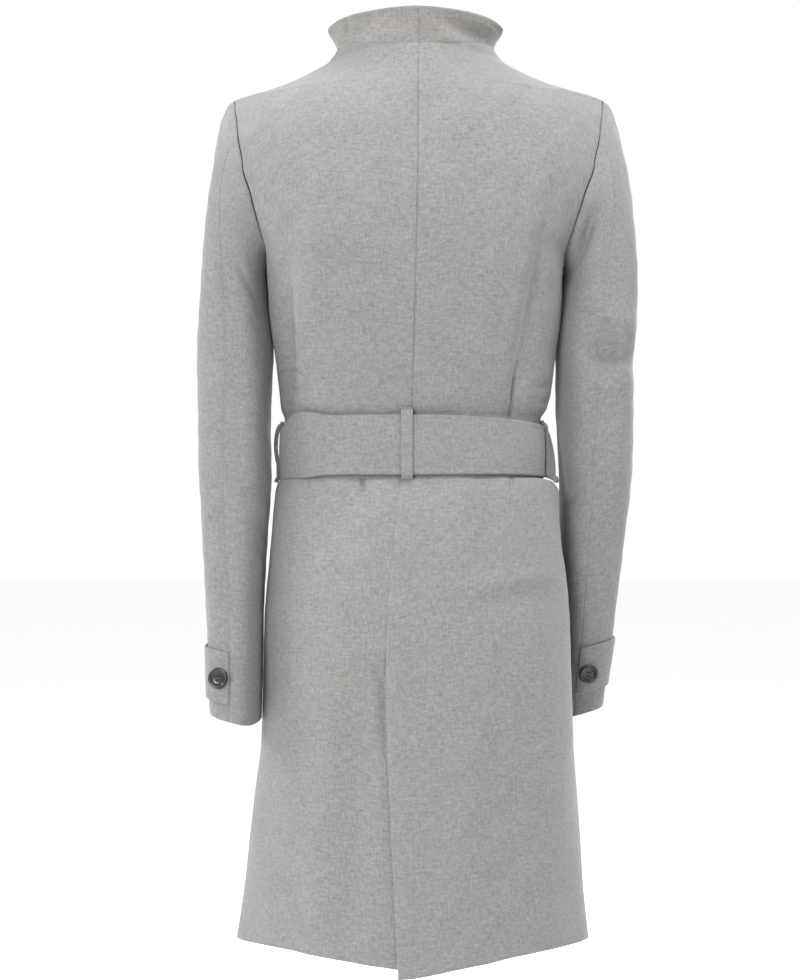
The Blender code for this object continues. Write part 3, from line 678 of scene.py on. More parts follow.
def sleeve(side, angle, row):
    """Sleeve points: rows 0 to 1 are the cap, rows 1 to 2 the tube down to the cuff."""
    angle, row = np.broadcast_arrays(np.asarray(angle, dtype=float), np.asarray(row, dtype=float))
    start = read_along(*ARMHOLE_LOOP[side], angle, 360.0)
    end = sleeve_tube(side, angle, np.full_like(row, SLEEVE_START))
    drop = sleeve_tube(side, angle, np.full_like(row, SLEEVE_START + CAP_STEP)) - end
    top = np.cos(np.radians(angle))
    span = np.linalg.norm(end - start, axis=-1)
    fall = -CAP_FALL * np.maximum(0.0, top)
    push = np.stack((np.full_like(top, side), np.zeros_like(top), fall), axis=-1)
    one = start + unit(push) * (span * (CAP_PUSH - CAP_EASE * top * top))[..., None]
    two = end + unit(drop) * (span * CAP_LEAD)[..., None]
    s = np.minimum(row, 1.0)[..., None]
    cap = (1 - s) ** 3 * start + 3 * s * (1 - s) ** 2 * one + 3 * s * s * (1 - s) * two + s ** 3 * end
    tube = sleeve_tube(side, angle, sleeve_level(side, np.maximum(row, 1.0)))
    return np.where((row > 1.0)[..., None], tube, cap)


def back_seam(side, row):
    table = SLEEVE[side]
    first = table.read("back_seam", SLEEVE_START)
    cap = SEAM_START[side] + (first - SEAM_START[side]) * ease(row)
    return np.where(row >= 1.0, table.read("back_seam", sleeve_level(side, np.maximum(row, 1.0))), cap)


def crease_field(rows, across, level, across_unit=MM):
    """Height of the creases at each point of a piece laid out by across and level."""
    total = np.zeros(np.broadcast(across, level).shape)
    for row in np.array(rows) * (across_unit, MM, across_unit, MM, MM, MM, MM):
        crease = dict(zip(CREASE_NAMES, row))
        wide = crease["across_2"] - crease["across_1"]
        high = crease["level_2"] - crease["level_1"]
        length = math.hypot(wide, high)
        dx, dz = across - crease["across_1"], level - crease["level_1"]
        gone = (dx * wide + dz * high) / length
        s = np.clip(gone / length, 0.0, 1.0)
        aside = (dx * high - dz * wide) / length - 4.0 * crease["bow"] * s * (1.0 - s)
        past = gone - s * length
        fade = np.sin(math.pi * (CREASE_END + (1.0 - 2.0 * CREASE_END) * s)) ** CREASE_FADE
        total += crease["height"] * fade * np.exp(-(aside ** 2 + past ** 2) / crease["spread"] ** 2)
    return total


def ripple_field(across, level, seed):
    """Slight unevenness of hanging cloth, about a millimetre."""
    total = np.zeros_like(level)
    for wave, tilt, phase, height in RIPPLES:
        turn = 2 * math.pi * (across + tilt * level) / wave
        total += height * np.sin(turn + phase + RIPPLE_SHIFT * seed)
    return total


def edge_lengths(points):
    """Distance of each grid point from the grid's first and last column and first and last row."""
    over = np.linalg.norm(np.diff(points, axis=1), axis=2)
    up = np.linalg.norm(np.diff(points, axis=0), axis=2)
    across = np.pad(np.cumsum(over, axis=1), ((0, 0), (1, 0)))
    along = np.pad(np.cumsum(up, axis=0), ((1, 0), (0, 0)))
    return {
        "first": across, "last": across[:, -1:] - across,
        "bottom": along, "top": along[-1:, :] - along,
    }


def sewn(edges, name, strength=1.0):
    """The narrow groove of a seam in its soft dip."""
    soft = SEAM_DIP * (1.0 - ease(edges[name] / SEAM_SPREAD))
    narrow = SEAM_GROOVE * (1.0 - ease(edges[name] / SEAM_GROOVE_WIDTH))
    return -strength * (soft + narrow)


def uneven(level):
    """How strongly the middle seam draws in: fainter under the belt, and nowhere even."""
    wander = sum(height * np.sin(pace * level + phase) for height, pace, phase in SEAM_WANDER)
    skirt = SKIRT_SEAM + (1.0 - SKIRT_SEAM) * ease((level - BELT_BOTTOM) / SKIRT_SEAM_FADE)
    return (1.0 + wander) * skirt


def folded(edges, *names, size=FOLD_ROUND):
    """How far each face is drawn in at folded edges, so that these are round."""
    total = 0.0
    for name in names:
        near = np.clip(1.0 - edges[name] / size, 0.0, 1.0)
        total = total + FOLD_SHARE * size * (1.0 - np.sqrt(1.0 - near ** 2))
    return total


def grooved(edges, *names):
    """The shallow grooves that rows of topstitching pull."""
    off = [(edges[name] - STITCH_INSET) / GROOVE_WIDTH for name in names]
    return -GROOVE_DEPTH * sum(np.exp(-gap ** 2) for gap in off)


def calm(edges, names, reach):
    """0 at the named edges, easing to 1 a little way off."""
    total = 1.0
    for name in names:
        total = total * ease(edges[name] / reach)
    return total


def under_belt(level):
    """1 where the belt presses on the cloth, easing to 0 a little way off."""
    off = np.maximum(level - BELT_TOP, BELT_BOTTOM - level)
    return 1.0 - ease(off / BELT_FADE)


def add_object(name, data):
    made = bpy.data.objects.new(name, data)
    bpy.context.scene.collection.objects.link(made)
    return made


def show(name, data, material, nodes):
    """Make one shown piece of a finished mesh."""
    data.shade_smooth()
    data.set_sharp_from_angle(angle=SHARP_ANGLE)
    data.materials.append(material)
    made = add_object(name, data)
    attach(made, "root")
    if nodes:
        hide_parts(*nodes)
    return made


def mesh_of(name, bm):
    """The mesh of a finished shape, its faces turned outwards."""
    if bm.calc_volume(signed=True) < 0:
        bmesh.ops.reverse_faces(bm, faces=bm.faces[:])
    data = bpy.data.meshes.new(name)
    bm.to_mesh(data)
    bm.free()
    return data


def weave_across(edges, both_edges):
    """How far across the weave each point lies, counted from one side edge or from both."""
    first, last = edges["first"], edges["last"]
    if not both_edges:
        return first
    nearer_last = ease((first / (first + last) - WEAVE_TURN) / WEAVE_TURN_WIDTH)
    return first * (1.0 - nearer_last) + (first[0, -1] - last) * nearer_last


def cloth(node, faces, material, lay, leave_out=None, both_edges=False):
    """A closed shell between two grids of points, with its weave laid out in metres."""
    outer, inner = faces
    rows, columns = outer.shape[0] - 1, outer.shape[1] - 1
    bm = bmesh.new()
    bmesh.ops.create_grid(bm, x_segments=columns, y_segments=rows, size=0.5)
    bmesh.ops.scale(bm, verts=bm.verts[:], vec=(columns, rows, 1.0))
    bmesh.ops.translate(bm, verts=bm.verts[:], vec=(0.5 * columns, 0.5 * rows, 0.0))
    if leave_out:
        spare = [face for face in bm.faces if leave_out(face.calc_center_median())]
        bmesh.ops.delete(bm, geom=spare, context="FACES")
    bmesh.ops.solidify(bm, geom=bm.faces[:], thickness=1.0)
    data = bpy.data.meshes.new(f"wool_{node}")
    bm.to_mesh(data)
    bm.free()
    places = np.empty(3 * len(data.vertices))
    data.vertices.foreach_get("co", places)
    column, row, face = np.abs(np.rint(places)).astype(int).reshape(-1, 3).T
    data.vertices.foreach_set("co", np.stack((outer, inner))[face, row, column].ravel())
    corners = np.empty(len(data.loops), dtype=int)
    data.loops.foreach_get("vertex_index", corners)
    edges = edge_lengths(outer)
    laid = np.stack((lay[0] + weave_across(edges, both_edges), lay[1] + edges["bottom"]), axis=-1)
    weave = data.uv_layers.new(name="weave")
    weave.uv.foreach_set("vector", laid[row, column][corners].ravel())
    middle = data.polygons[len(data.polygons) // 4]
    nearest = int(np.argmin(np.linalg.norm(outer - np.array(middle.center), axis=2)))
    away = (outer - inner).reshape(-1, 3)[nearest]
    facing = np.dot(middle.normal, away) * (1.0 if face[middle.vertices[0]] == 0 else -1.0)
    if facing < 0:
        data.flip_normals()
    made = show(f"wool_{node}", data, material, [node])


def shell(points, out, raised, drawn, wall=WALL):
    """The outer and inner faces of a piece of cloth."""
    outer = points + (raised - drawn)[..., None] * out
    inner = points + (raised - wall + drawn)[..., None] * out
    return outer, inner


def new_material(name, **finish):
    """A material, its nodes and links, and its shader with the named inputs set."""
    material = bpy.data.materials.new(name)
    material.use_nodes = True
    nodes, links = material.node_tree.nodes, material.node_tree.links
    set_inputs(nodes["Principled BSDF"], **finish)
    return material, nodes, links, nodes["Principled BSDF"]


def set_inputs(node, **values):
    for name, value in values.items():
        node.inputs[name.replace("_", " ")].default_value = value


def noise_node(nodes, **values):
    noise = nodes.new("ShaderNodeTexNoise")
    set_inputs(noise, **values)
    return noise


def colour_ramp(nodes, low, dark, high, light):
    ramp = nodes.new("ShaderNodeValToRGB")
    for element, position, colour in zip(ramp.color_ramp.elements, (low, high), (dark, light)):
        element.position = position
        element.color = (*colour, 1.0)
    return ramp


def wool_material(name, dark, light):
    """Light grey melange wool: crossed slubs, mixed fibres, soft nap."""
    finish = {"Roughness": 0.92, "Specular_IOR_Level": 0.15, "Sheen_Weight": 0.18, "Sheen_Roughness": 0.5}
    material, nodes, links, shader = new_material(name, **finish)
    weave = nodes.new("ShaderNodeUVMap")
    weave.uv_map = "weave"

    def threads(scale, detail, weight, others):
        """Noise drawn out along the threads, weighed and added to the other threads."""
        placing = nodes.new("ShaderNodeMapping")
        set_inputs(placing, Scale=scale)
        links.new(weave.outputs["UV"], placing.inputs["Vector"])
        noise = noise_node(nodes, Scale=1.0, Detail=detail, Roughness=0.6)
        links.new(placing.outputs["Vector"], noise.inputs["Vector"])
        added = nodes.new("ShaderNodeMath")
        added.operation = "MULTIPLY_ADD"
        links.new(noise.outputs["Fac"], added.inputs[0])
        added.inputs[1].default_value = weight
        added.inputs[2].default_value = 0.0
        if others is not None:
            links.new(others, added.inputs[2])
        return added.outputs[0]

    crossed = None
    for row in THREAD_ROWS:
        crossed = threads(*row, crossed)
    ramp = colour_ramp(nodes, 0.38, dark, 0.7, light)
    links.new(threads(*CLOUD_ROW, crossed), ramp.inputs["Fac"])
    tint = noise_node(nodes, Scale=42.0, Detail=2.0)
    links.new(weave.outputs["UV"], tint.inputs["Vector"])
    tinged = nodes.new("ShaderNodeMix")
    tinged.data_type = "RGBA"
    tinged.blend_type = "SOFT_LIGHT"
    set_inputs(tinged, Factor=0.07)
    links.new(ramp.outputs["Color"], tinged.inputs["A"])
    links.new(tint.outputs["Color"], tinged.inputs["B"])
    links.new(tinged.outputs["Result"], shader.inputs["Base Color"])
    bump = nodes.new("ShaderNodeBump")
    set_inputs(bump, Strength=0.35, Distance=0.0006)
    links.new(crossed, bump.inputs["Height"])
    links.new(bump.outputs["Normal"], shader.inputs["Normal"])
    return material


def mottled_material(name, scale, dark, light, roughness, shine):
    """A plain finish with faint cloudy streaks."""
    material, nodes, links, shader = new_material(name, Roughness=roughness, Specular_IOR_Level=shine)
    place = nodes.new("ShaderNodeTexCoord")
    noise = noise_node(nodes, Scale=scale, Detail=3.0)
    links.new(place.outputs["Object"], noise.inputs["Vector"])
    ramp = colour_ramp(nodes, 0.35, dark, 0.72, light)
    links.new(noise.outputs["Fac"], ramp.inputs["Fac"])
    links.new(ramp.outputs["Color"], shader.inputs["Base Color"])
    return material


GREY_WOOL = wool_material("grey_wool", (0.104, 0.104, 0.103), (0.194, 0.194, 0.192))
COLLAR_WOOL = wool_material("collar_wool", (0.117, 0.113, 0.109), (0.218, 0.211, 0.204))
BUTTON = mottled_material(
    "black_button", 260.0, (0.0035, 0.0035, 0.0035), (0.01, 0.0095, 0.009), 0.3, 0.45)
THREAD = mottled_material("grey_thread", 900.0, (0.17, 0.17, 0.168), (0.3, 0.3, 0.295), 0.75, 0.2)
DARK_THREAD = mottled_material("dark_thread", 900.0, (0.006, 0.006, 0.006), (0.02, 0.02, 0.02), 0.7, 0.2)


def stitch_template():
    bm = bmesh.new()
    bmesh.ops.create_uvsphere(bm, u_segments=6, v_segments=4, radius=1.0)
    return mesh_of("stitch", bm)


STITCH = stitch_template()


def strand(bm, ends, out, radius):
    """One stitch of thread between two points."""
    along = unit(ends[1] - ends[0])
    level = unit(out - np.dot(out, along) * along)
    turned = Matrix((np.cross(along, level), along, level)).transposed().to_4x4()
    size = Matrix.Diagonal((radius, 0.5 * np.linalg.norm(ends[1] - ends[0]), radius, 1.0))
    place = Matrix.Translation(Vector(0.5 * (ends[0] + ends[1]))) @ turned @ size
    STITCH.transform(place)
    bm.from_mesh(STITCH)
    STITCH.transform(place.inverted())


def stitches(name, rows):
    """Rows of topstitching: each row is its points and the outward directions there."""
    bm = bmesh.new()
    for points, outs in rows:
        run = run_along(points)
        for start in np.arange(0.5 * STITCH_STEP, run[-1] - STITCH_STEP, STITCH_STEP):
            ends = [read_along(run, points, at) for at in (start, start + STITCH_LENGTH)]
            strand(bm, ends, read_along(run, outs, start), STITCH_RADIUS)
    return show(name, mesh_of(name, bm), THREAD, [])


def body_levels():
    near = np.array(EDGE_STEPS)
    return np.unique(np.concatenate((
        HEM + near, np.arange(HEM + HEM_STEP, FINE_LOW, CLOTH_STEP),
        np.linspace(FINE_LOW, FINE_HIGH, FINE_ROWS),
        np.arange(FINE_HIGH + CLOTH_STEP, UNDERARM - 0.5 * CLOTH_STEP, CLOTH_STEP),
        UNDERARM + (SHOULDER - UNDERARM) * swing(YOKE_ROWS),
        np.linspace(SHOULDER, NECK_START, NECK_ROWS)[1:], -near, VENT_TOP - near,
    )))


LEVELS = body_levels()


def panel_surface(face, side, shares, levels, beyond=()):
    """Points and outward directions of a body panel, with any lap beyond its middle edge."""
    lap = [panel_points(face, side, shares[:1], levels, width) for width in beyond]
    points = np.concatenate((*lap, panel_points(face, side, shares, levels)), axis=1)
    out = grid_out(points)
    tuck = tucked(face, side, points[..., 0], points[..., 2])
    return points - tuck[..., None] * out, out


def body_panel(word, face):
    side = SIDES[word]
    shares = [spread(PANEL_COLUMNS, PANEL_WIDTH)]
    for line_across, line_level in FINE_LINES.get((face, side), ()):
        middle = middle_turn(face, side, line_level)
        share = (turn_at(face, line_across, line_level) - middle) / (side - middle)
        shares.append(share + np.array(FINE_STEPS) / FINE_WIDTH)
    shares = np.unique(np.concatenate(shares))
    has_lap = face == "back" and side > 0
    beyond = VENT_LAP * np.array(LAP_SHARES) if has_lap else ()
    lap = len(beyond)
    points, out = panel_surface(face, side, shares, LEVELS, beyond)
    across, level = points[..., 0], points[..., 2]
    edges = edge_lengths(points[:, lap:])
    edges = {name: np.pad(gap, ((0, 0), (lap, 0)), mode="edge") for name, gap in edges.items()}
    creases = crease_field(CREASES[face], across, level) * calm(edges, ["last", "top"], CREASE_CALM)
    ripples = ripple_field(across, level, side + 0.5 * FACE_SIGN[face])
    raised = creases + ripples * calm(edges, ["last", "top", "first"], RIPPLE_CALM)
    raised = np.minimum(raised, raised * (1.0 - under_belt(level)))
    raised = raised + sewn(edges, "last") + sewn(edges, "top", NECK_SEAM)
    closed = np.zeros_like(level)
    if face == "back":
        closed = ease((level - VENT_TOP) / VENT_CLOSE + 0.5)
    raised = raised + closed * sewn(edges, "first", uneven(level))
    drawn = folded(edges, "bottom")
    if not has_lap:
        drawn = drawn + (1.0 - closed) * folded(edges, "first")
    faces = shell(points, out, raised, drawn)
    top_row = nearest(LEVELS, VENT_TOP)
    spare = (lambda middle: middle.x < lap and middle.y > top_row) if has_lap else None
    lay = np.array(WEAVE_LAY["body"]) * (side, FACE_SIGN[face])
    cloth(f"{face}_{word}", faces, GREY_WOOL, lay, spare)


def sleeve_raised(side, angle, level):
    """Creases and unevenness of a sleeve, without its seams."""
    around = ARM_DEGREE * angle
    ripples = ripple_field(around, level, side)
    still = ease((level - TAB_TOP) / TAB_STILL)
    return crease_field(SLEEVE_CREASES[side], around, level, ARM_DEGREE), ripples * still


def sleeve_grid(side, first, last, shares, rows):
    """Sleeve points between two angles, lowest row first, with outward directions and angles."""
    angle = first + (last - first) * shares[None, :]
    angle = np.broadcast_to(angle, (len(rows), len(shares)))
    points = sleeve(side, angle, rows[:, None])
    return points, side * grid_facing(points), angle


def sleeve_piece(word, part):
    side = SIDES[word]
    width = SLEEVE_WIDTHS[part]
    shares = spread(round(width / CLOTH_STEP), width)
    cap = spread(CAP_ROWS, CAP_LENGTH)[:-len(EDGE_STEPS)]
    tube = 1.0 + spread(TUBE_ROWS, TUBE_LENGTH)[len(EDGE_STEPS) - 1:]
    rows = np.concatenate((cap, tube))[::-1]
    seam = back_seam(side, rows)[:, None]
    first, last = (FRONT_SEAM, seam) if part == "upper" else (seam, FRONT_SEAM + 360.0)
    points, out, angle = sleeve_grid(side, first, last, shares, rows)
    edges = edge_lengths(points)
    creases, ripples = sleeve_raised(side, angle, points[..., 2])
    raised = creases * calm(edges, ["top"], CAP_CALM)
    raised = raised + ripples * calm(edges, ["top", "first", "last"], RIPPLE_CALM)
    raised = raised + sewn(edges, "first", SLEEVE_SEAM) + sewn(edges, "last", SLEEVE_SEAM)
    faces = shell(points, out, raised + sewn(edges, "top"), folded(edges, "bottom"))
    lay = np.array(WEAVE_LAY[part]) * (side, 1.0)
    cloth(f"sleeve_{part}_{word}", faces, GREY_WOOL, lay, both_edges=part == "under")


def cuff_tab(word):
    """The band over the outer sleeve above the cuff, caught in both sleeve seams."""
    side = SIDES[word]
    height = TAB_TOP - TAB_BOTTOM
    inset = STITCH_INSET / height
    shares = spread(TAB_COLUMNS, SLEEVE_WIDTHS["upper"])
    rise = np.unique(np.concatenate((spread(EDGING_ROWS, height), (inset, 1.0 - inset))))
    rows = sleeve_row(side, TAB_BOTTOM + rise * height)
    last = back_seam(side, rows)[:, None] - TAB_CLEAR
    points, out, angle = sleeve_grid(side, FRONT_SEAM + TAB_CLEAR, last, shares, rows)
    edges = edge_lengths(points)
    creases, ripples = sleeve_raised(side, angle, points[..., 2])
    raised = creases + ripples + REST_GAP + TAB_THICK + grooved(edges, "top", "bottom")
    raised = raised - TAB_SINK * (1.0 - calm(edges, ["first", "last"], TAB_SINK_REACH))
    faces = shell(points, out, raised, folded(edges, *edges), TAB_THICK)
    lines = [nearest(rise, share) for share in (inset, 1.0 - inset)]
    made = stitches(f"stitches_cuff_tab_{word}", [(faces[0][line], out[line]) for line in lines])
    lay = np.array(WEAVE_LAY["tab"]) * (side, 1.0)
    cloth(f"cuff_tab_{word}", faces, GREY_WOOL, lay)


def collar_half(word):
    """Half of the standing collar, from the centre back to its leaning front end."""
    side = SIDES[word]
    shares = {face: spread(*size) for face, size in COLLAR_COLUMNS.items()}
    shares["front"] = 1.0 - COLLAR_END * shares["front"][COLLAR_SKIP:]
    stretches = [panel_surface(face, side, share, np.array(NECK_LEVELS)) for face, share in shares.items()]
    base = np.concatenate([points[-1] for points, out in stretches])
    away = np.concatenate([out[-1] for points, out in stretches]) * (1.0, 1.0, 0.0)
    share = np.concatenate((0.5 * shares["back"], 0.5 + 0.5 * (1.0 - shares["front"]) / COLLAR_END))
    line_share = 1.0 - STITCH_INSET / COLLAR_HEIGHT
    rise = np.unique(np.append(spread(EDGING_ROWS, COLLAR_HEIGHT), line_share))
    s = rise[:, None]
    lift = (COLLAR.read("top", share) - base[:, 2]) * s - COLLAR_SINK
    lean = COLLAR.read("lean", share) * s ** COLLAR_CURL
    points = base + lean[..., None] * unit(away) + lift[..., None] * np.array((0.0, 0.0, 1.0))
    out = -side * grid_facing(points)
    edges = edge_lengths(points)
    raised = crease_field(COLLAR_CREASES[side], edges["first"], edges["bottom"]) + grooved(edges, "top")
    raised = raised + sewn(edges, "bottom", NECK_SEAM) + sewn(edges, "first", COLLAR_SEAM)
    faces = shell(points, out, raised, folded(edges, "top", "last"), COLLAR_WALL)
    line = nearest(rise, line_share)
    made = stitches(f"stitches_collar_{word}", [(faces[0][line], out[line])])
    lay = np.array(WEAVE_LAY["collar"]) * (side, 1.0)
    cloth(f"collar_{word}", faces, COLLAR_WOOL, lay)


def strap(node, points, out, thick, raised, lay, ends=("first", "last")):
    """A flat stitched strap whose under face lies on the given points."""
    edges = edge_lengths(points)
    top = raised + thick + grooved(edges, "top", "bottom")
    drawn = folded(edges, "top", "bottom", *ends, size=STRAP_ROUND)
    faces = shell(points, out, top, drawn, thick)
    middle = points.shape[1] // 2
    lines = [nearest(edges[name][:, middle], STITCH_INSET) for name in ("top", "bottom")]
    made = stitches(f"stitches_{node}", [(faces[0][line], out[line]) for line in lines])
    cloth(node, faces, GREY_WOOL, lay)


def strap_rows(width):
    inset = STITCH_INSET / width
    return np.unique(np.concatenate((spread(STRAP_ROWS, width), (inset, 1.0 - inset))))


def belt():
    """The belt from the middle of the front by the right, the back and the left."""
    share = strap_rows(BELT_TOP - BELT_BOTTOM)[:, None]
    level = BELT_BOTTOM + share * (BELT_TOP - BELT_BOTTOM)
    front = np.concatenate((BELT_END_TURNS, np.linspace(BELT_FRONT_TURN, 1.0, BELT_COLUMNS)))
    back = np.linspace(-1.0, 1.0, 2 * BELT_COLUMNS + 1)[1:]
    stretches = (("front", -front), ("back", back), ("front", front[-2::-1]))
    points = np.concatenate([torso(face, turn[None, :], level) for face, turn in stretches], axis=1)
    out = grid_out(points)
    turns = 2 * math.pi * edge_lengths(points)["first"]
    cupped = np.exp(-((points[..., 0] - BELT_CUP) / BELT_CUP_WIDTH) ** 2) * (points[..., 1] > 0.0)
    swell = BELT_SWELL * (1.0 - np.cos(turns / BELT_SWELL_WAVE)) * np.sin(math.pi * share) ** 2
    swell = swell + BELT_CUP_SWELL * cupped * share
    points = points + SEAM_GAP * out
    across = points[..., 0]
    at_back = ease((points[..., 1] + BELT_BACK_START) / BELT_BACK_REACH)
    round_left = ease((across - BELT_DROP_START) / BELT_DROP_REACH) * at_back
    to_right = ease((BELT_RIGHT_START - across) / BELT_RIGHT_REACH) * at_back
    points[..., 2] += BELT_WAVE * np.sin(turns / BELT_WAVE_LENGTH + BELT_WAVE_START)
    points[..., 2] += cupped * (BELT_CUP_RISE * share - BELT_CUP_FALL * (1.0 - share))
    points[..., 2] -= (BELT_DROP * share + BELT_LOW_DROP * (1.0 - share)) * round_left
    points[..., 2] -= BELT_RIGHT_DROP * share * to_right
    strap("belt", points, out, BELT_THICK, swell, WEAVE_LAY["belt"], ())


def belt_loop(node, turn, bow, sag, bowed, lean, belt_drop):
    """A narrow strip over the belt, its ends on the coat above and below, standing off by the bow.

    With a full lean only its edge nearer the front stands off, so the strip turns to the back.
    """
    level = np.linspace(LOOP_BOTTOM, LOOP_TOP - belt_drop, LOOP_ROWS)[:, None]
    length = quarter("back", BELT_MIDDLE)[2][-1]
    strip = spread(LOOP_COLUMNS, LOOP_WIDTH, LOOP_EDGE_STEPS)[None, :]
    offset = (strip - 0.5) * (1.0 - LOOP_NARROW * lean) * LOOP_WIDTH / length
    spot = np.clip(turn + offset, -1.0, 1.0)
    home = torso("back", spot, np.full_like(spot, BELT_MIDDLE))
    ends = torso("back", np.array((turn - TURN_STEP, turn + TURN_STEP)).clip(-1.0, 1.0), BELT_MIDDLE)
    out = unit(np.cross((0.0, 0.0, 1.0), ends[1] - ends[0]))
    past_belt = np.maximum(level - BELT_TOP + belt_drop, BELT_BOTTOM - level)
    over = (SEAM_GAP + BELT_THICK + LOOP_CLEAR) * ease(1.0 - past_belt / LOOP_DROP)
    nearby = (level - LOOP_FEEL, level, level + LOOP_FEEL)
    below = np.max([(torso("back", spot, height) - home) @ out for height in nearby], axis=0)
    off_middle = np.clip((level - BELT_MIDDLE + sag) / bowed, -0.5, 0.5)
    foot = ease((level - LOOP_BOTTOM) / LOOP_FOOT)
    swell = bow * np.cos(math.pi * off_middle).clip(0.0) ** LOOP_CURVE * foot
    to_front = strip if turn > 0.0 else 1.0 - strip
    stand = np.maximum(over, below + SEAM_GAP) + swell * (1.0 - lean + lean * to_front)
    points = home + stand[..., None] * out
    points[..., 2] = np.broadcast_to(level, stand.shape)
    drawn = folded(edge_lengths(points), "first", "last", size=LOOP_ROUND)
    raised = np.full(drawn.shape, LOOP_THICK)
    faces = shell(points, -grid_facing(points), raised, drawn, LOOP_THICK + LOOP_SINK)
    lay = WEAVE_LAY["loop"] + np.array((0.0, LOOP_LAY_STEP * turn))
    cloth(node, faces, GREY_WOOL, lay)


LOOPS = (
    ("back", turn_at("back", 0.0085, BELT_MIDDLE), 0.0, 0.0, 0.08, 0.0, 0.0),
    ("left", 0.95, 0.0026, -0.004, 0.034, 0.0, 0.007),
    ("right", -0.925, 0.0095, 0.024, 0.084, 1.0, 0.006),
)


def front_surface(across, level):
    across, level = np.broadcast_arrays(across, level)
    turn = np.vectorize(turn_at, otypes=[float])("front", across, level)
    return torso("front", turn, level)


def belt_tail(word):
    """A hanging end of the belt, lying down the front of the skirt."""
    side = SIDES[word]
    width = strap_rows(TAIL_WIDTH)[:, None] - 0.5
    drops = (np.linspace(0.0, TAIL_LENGTH, TAIL_COLUMNS), TAIL_LENGTH - np.array(EDGE_STEPS))
    drop = np.unique(np.concatenate(drops))[None, :]
    widening = ease(drop / TAIL_WIDEN_REACH)
    middle = side * (TAIL_START + TAIL_WIDEN * widening + TAIL_SPLAY * drop)
    across = middle + width * TAIL_WIDTH * (TAIL_GATHER + (1.0 - TAIL_GATHER) * widening)
    level = TAIL_TOP - drop - TAIL_SLANT * drop * side * width
    points = front_surface(across, level) - np.array((0.0, TAIL_CLEAR, 0.0))
    out = np.broadcast_to((0.0, -1.0, 0.0), points.shape)
    turn = 2 * math.pi * drop / TAIL_SWAY_WAVE + TAIL_SWAY_START * side
    sway = TAIL_SWAY * ease(drop / TAIL_SWAY_REACH) * (1.0 - np.cos(turn))
    lay = np.array(WEAVE_LAY["tail"]) * (side, 1.0)
    strap(f"belt_tail_{word}", points, out, TAIL_THICK, sway, lay)


def belt_knot():
    """The turn of belt over the crossing, its upper and lower ends folded back towards the coat."""
    share = strap_rows(KNOT_WIDTH)[None, :]
    turn = np.radians(np.linspace(-KNOT_TURN, KNOT_TURN, KNOT_ROWS))[:, None]
    half = 0.5 * (BELT_TOP - BELT_BOTTOM) + KNOT_MARGIN
    place = (share - 0.5) * KNOT_WIDTH
    across = (share - 0.5) * (KNOT_WIDTH + KNOT_FLARE * np.sin(turn) ** 2)
    flat = front_surface(place, np.array(BELT_MIDDLE))[..., 1] - SEAM_GAP - BELT_THICK - KNOT_CLEAR
    bulge = KNOT_BULGE * (1.0 - (2.0 * share - 1.0) ** 2)
    faces = []
    for thick in (KNOT_THICK, 0.0):
        depth = (bulge + thick) * np.cos(turn) ** KNOT_CURVE
        height = BELT_MIDDLE + (half + thick) * np.sin(turn)
        faces.append(np.stack(np.broadcast_arrays(across, flat - depth, height), axis=-1))
    drawn = folded(edge_lengths(faces[0]), "first", "last", size=STRAP_ROUND)
    faces[0][..., 1] += drawn - crease_field(KNOT_CREASES, place, half * np.sin(turn))
    faces[1][..., 1] -= drawn
    cloth("belt_knot", faces, GREY_WOOL, WEAVE_LAY["knot"])


def torso_out(face, turn, level):
    across = torso(face, turn + TURN_STEP, level) - torso(face, turn - TURN_STEP, level)
    rise = torso(face, turn, level + FEEL_STEP) - torso(face, turn, level - FEEL_STEP)
    return unit(FACE_SIGN[face] * np.cross(rise, across))


def button(node, point, out):
    """A turned button with a raised rim and four sewn holes."""
    bm = bmesh.new()
    profile = [bm.verts.new((MM * radius, 0.0, MM * height)) for radius, height in BUTTON_PROFILE]
    for one, two in zip(profile, profile[1:]):
        bm.edges.new((one, two))
    bmesh.ops.spin(bm, geom=bm.verts[:] + bm.edges[:], cent=(0.0, 0.0, 0.0), axis=(0.0, 0.0, 1.0),
                   angle=2 * math.pi, steps=BUTTON_STEPS, use_merge=True)
    bmesh.ops.remove_doubles(bm, verts=bm.verts[:], dist=MERGE)
    bmesh.ops.recalc_face_normals(bm, faces=bm.faces[:])
    for quarter_turn in range(4):
        aim = Vector((1.0, 1.0)).normalized()
        aim.rotate(Matrix.Rotation(quarter_turn * math.pi / 2, 2))
        pit = [face for face in bm.faces if is_hole(face, aim)]
        bmesh.ops.inset_region(bm, faces=pit, thickness=HOLE_RIM, depth=-HOLE_DEPTH)
    place = button_place(point, out)
    bmesh.ops.transform(bm, matrix=place, verts=bm.verts[:])
    show(f"turned_{node}", mesh_of(f"turned_{node}", bm), BUTTON, [node])
    threads = bmesh.new()
    for offset in (-HOLE_OFFSET, HOLE_OFFSET):
        ends = [place @ Vector((end, offset, THREAD_LEVEL)) for end in (-THREAD_HALF, THREAD_HALF)]
        strand(threads, np.array(ends), np.array(out), THREAD_RADIUS)
    show(f"thread_{node}", mesh_of(f"thread_{node}", threads), DARK_THREAD, [])


def is_hole(face, aim):
    middle = face.calc_center_median()
    flat = Vector((middle.x, middle.y))
    in_ring = HOLE_NEAR < flat.length < HOLE_FAR and middle.z > HOLE_LEVEL
    return in_ring and flat.angle(aim) < HOLE_REACH


def button_place(point, out):
    turned = Vector((0.0, 0.0, 1.0)).rotation_difference(Vector(out)).to_matrix().to_4x4()
    return Matrix.Translation(Vector(point + SEAM_GAP * out)) @ turned


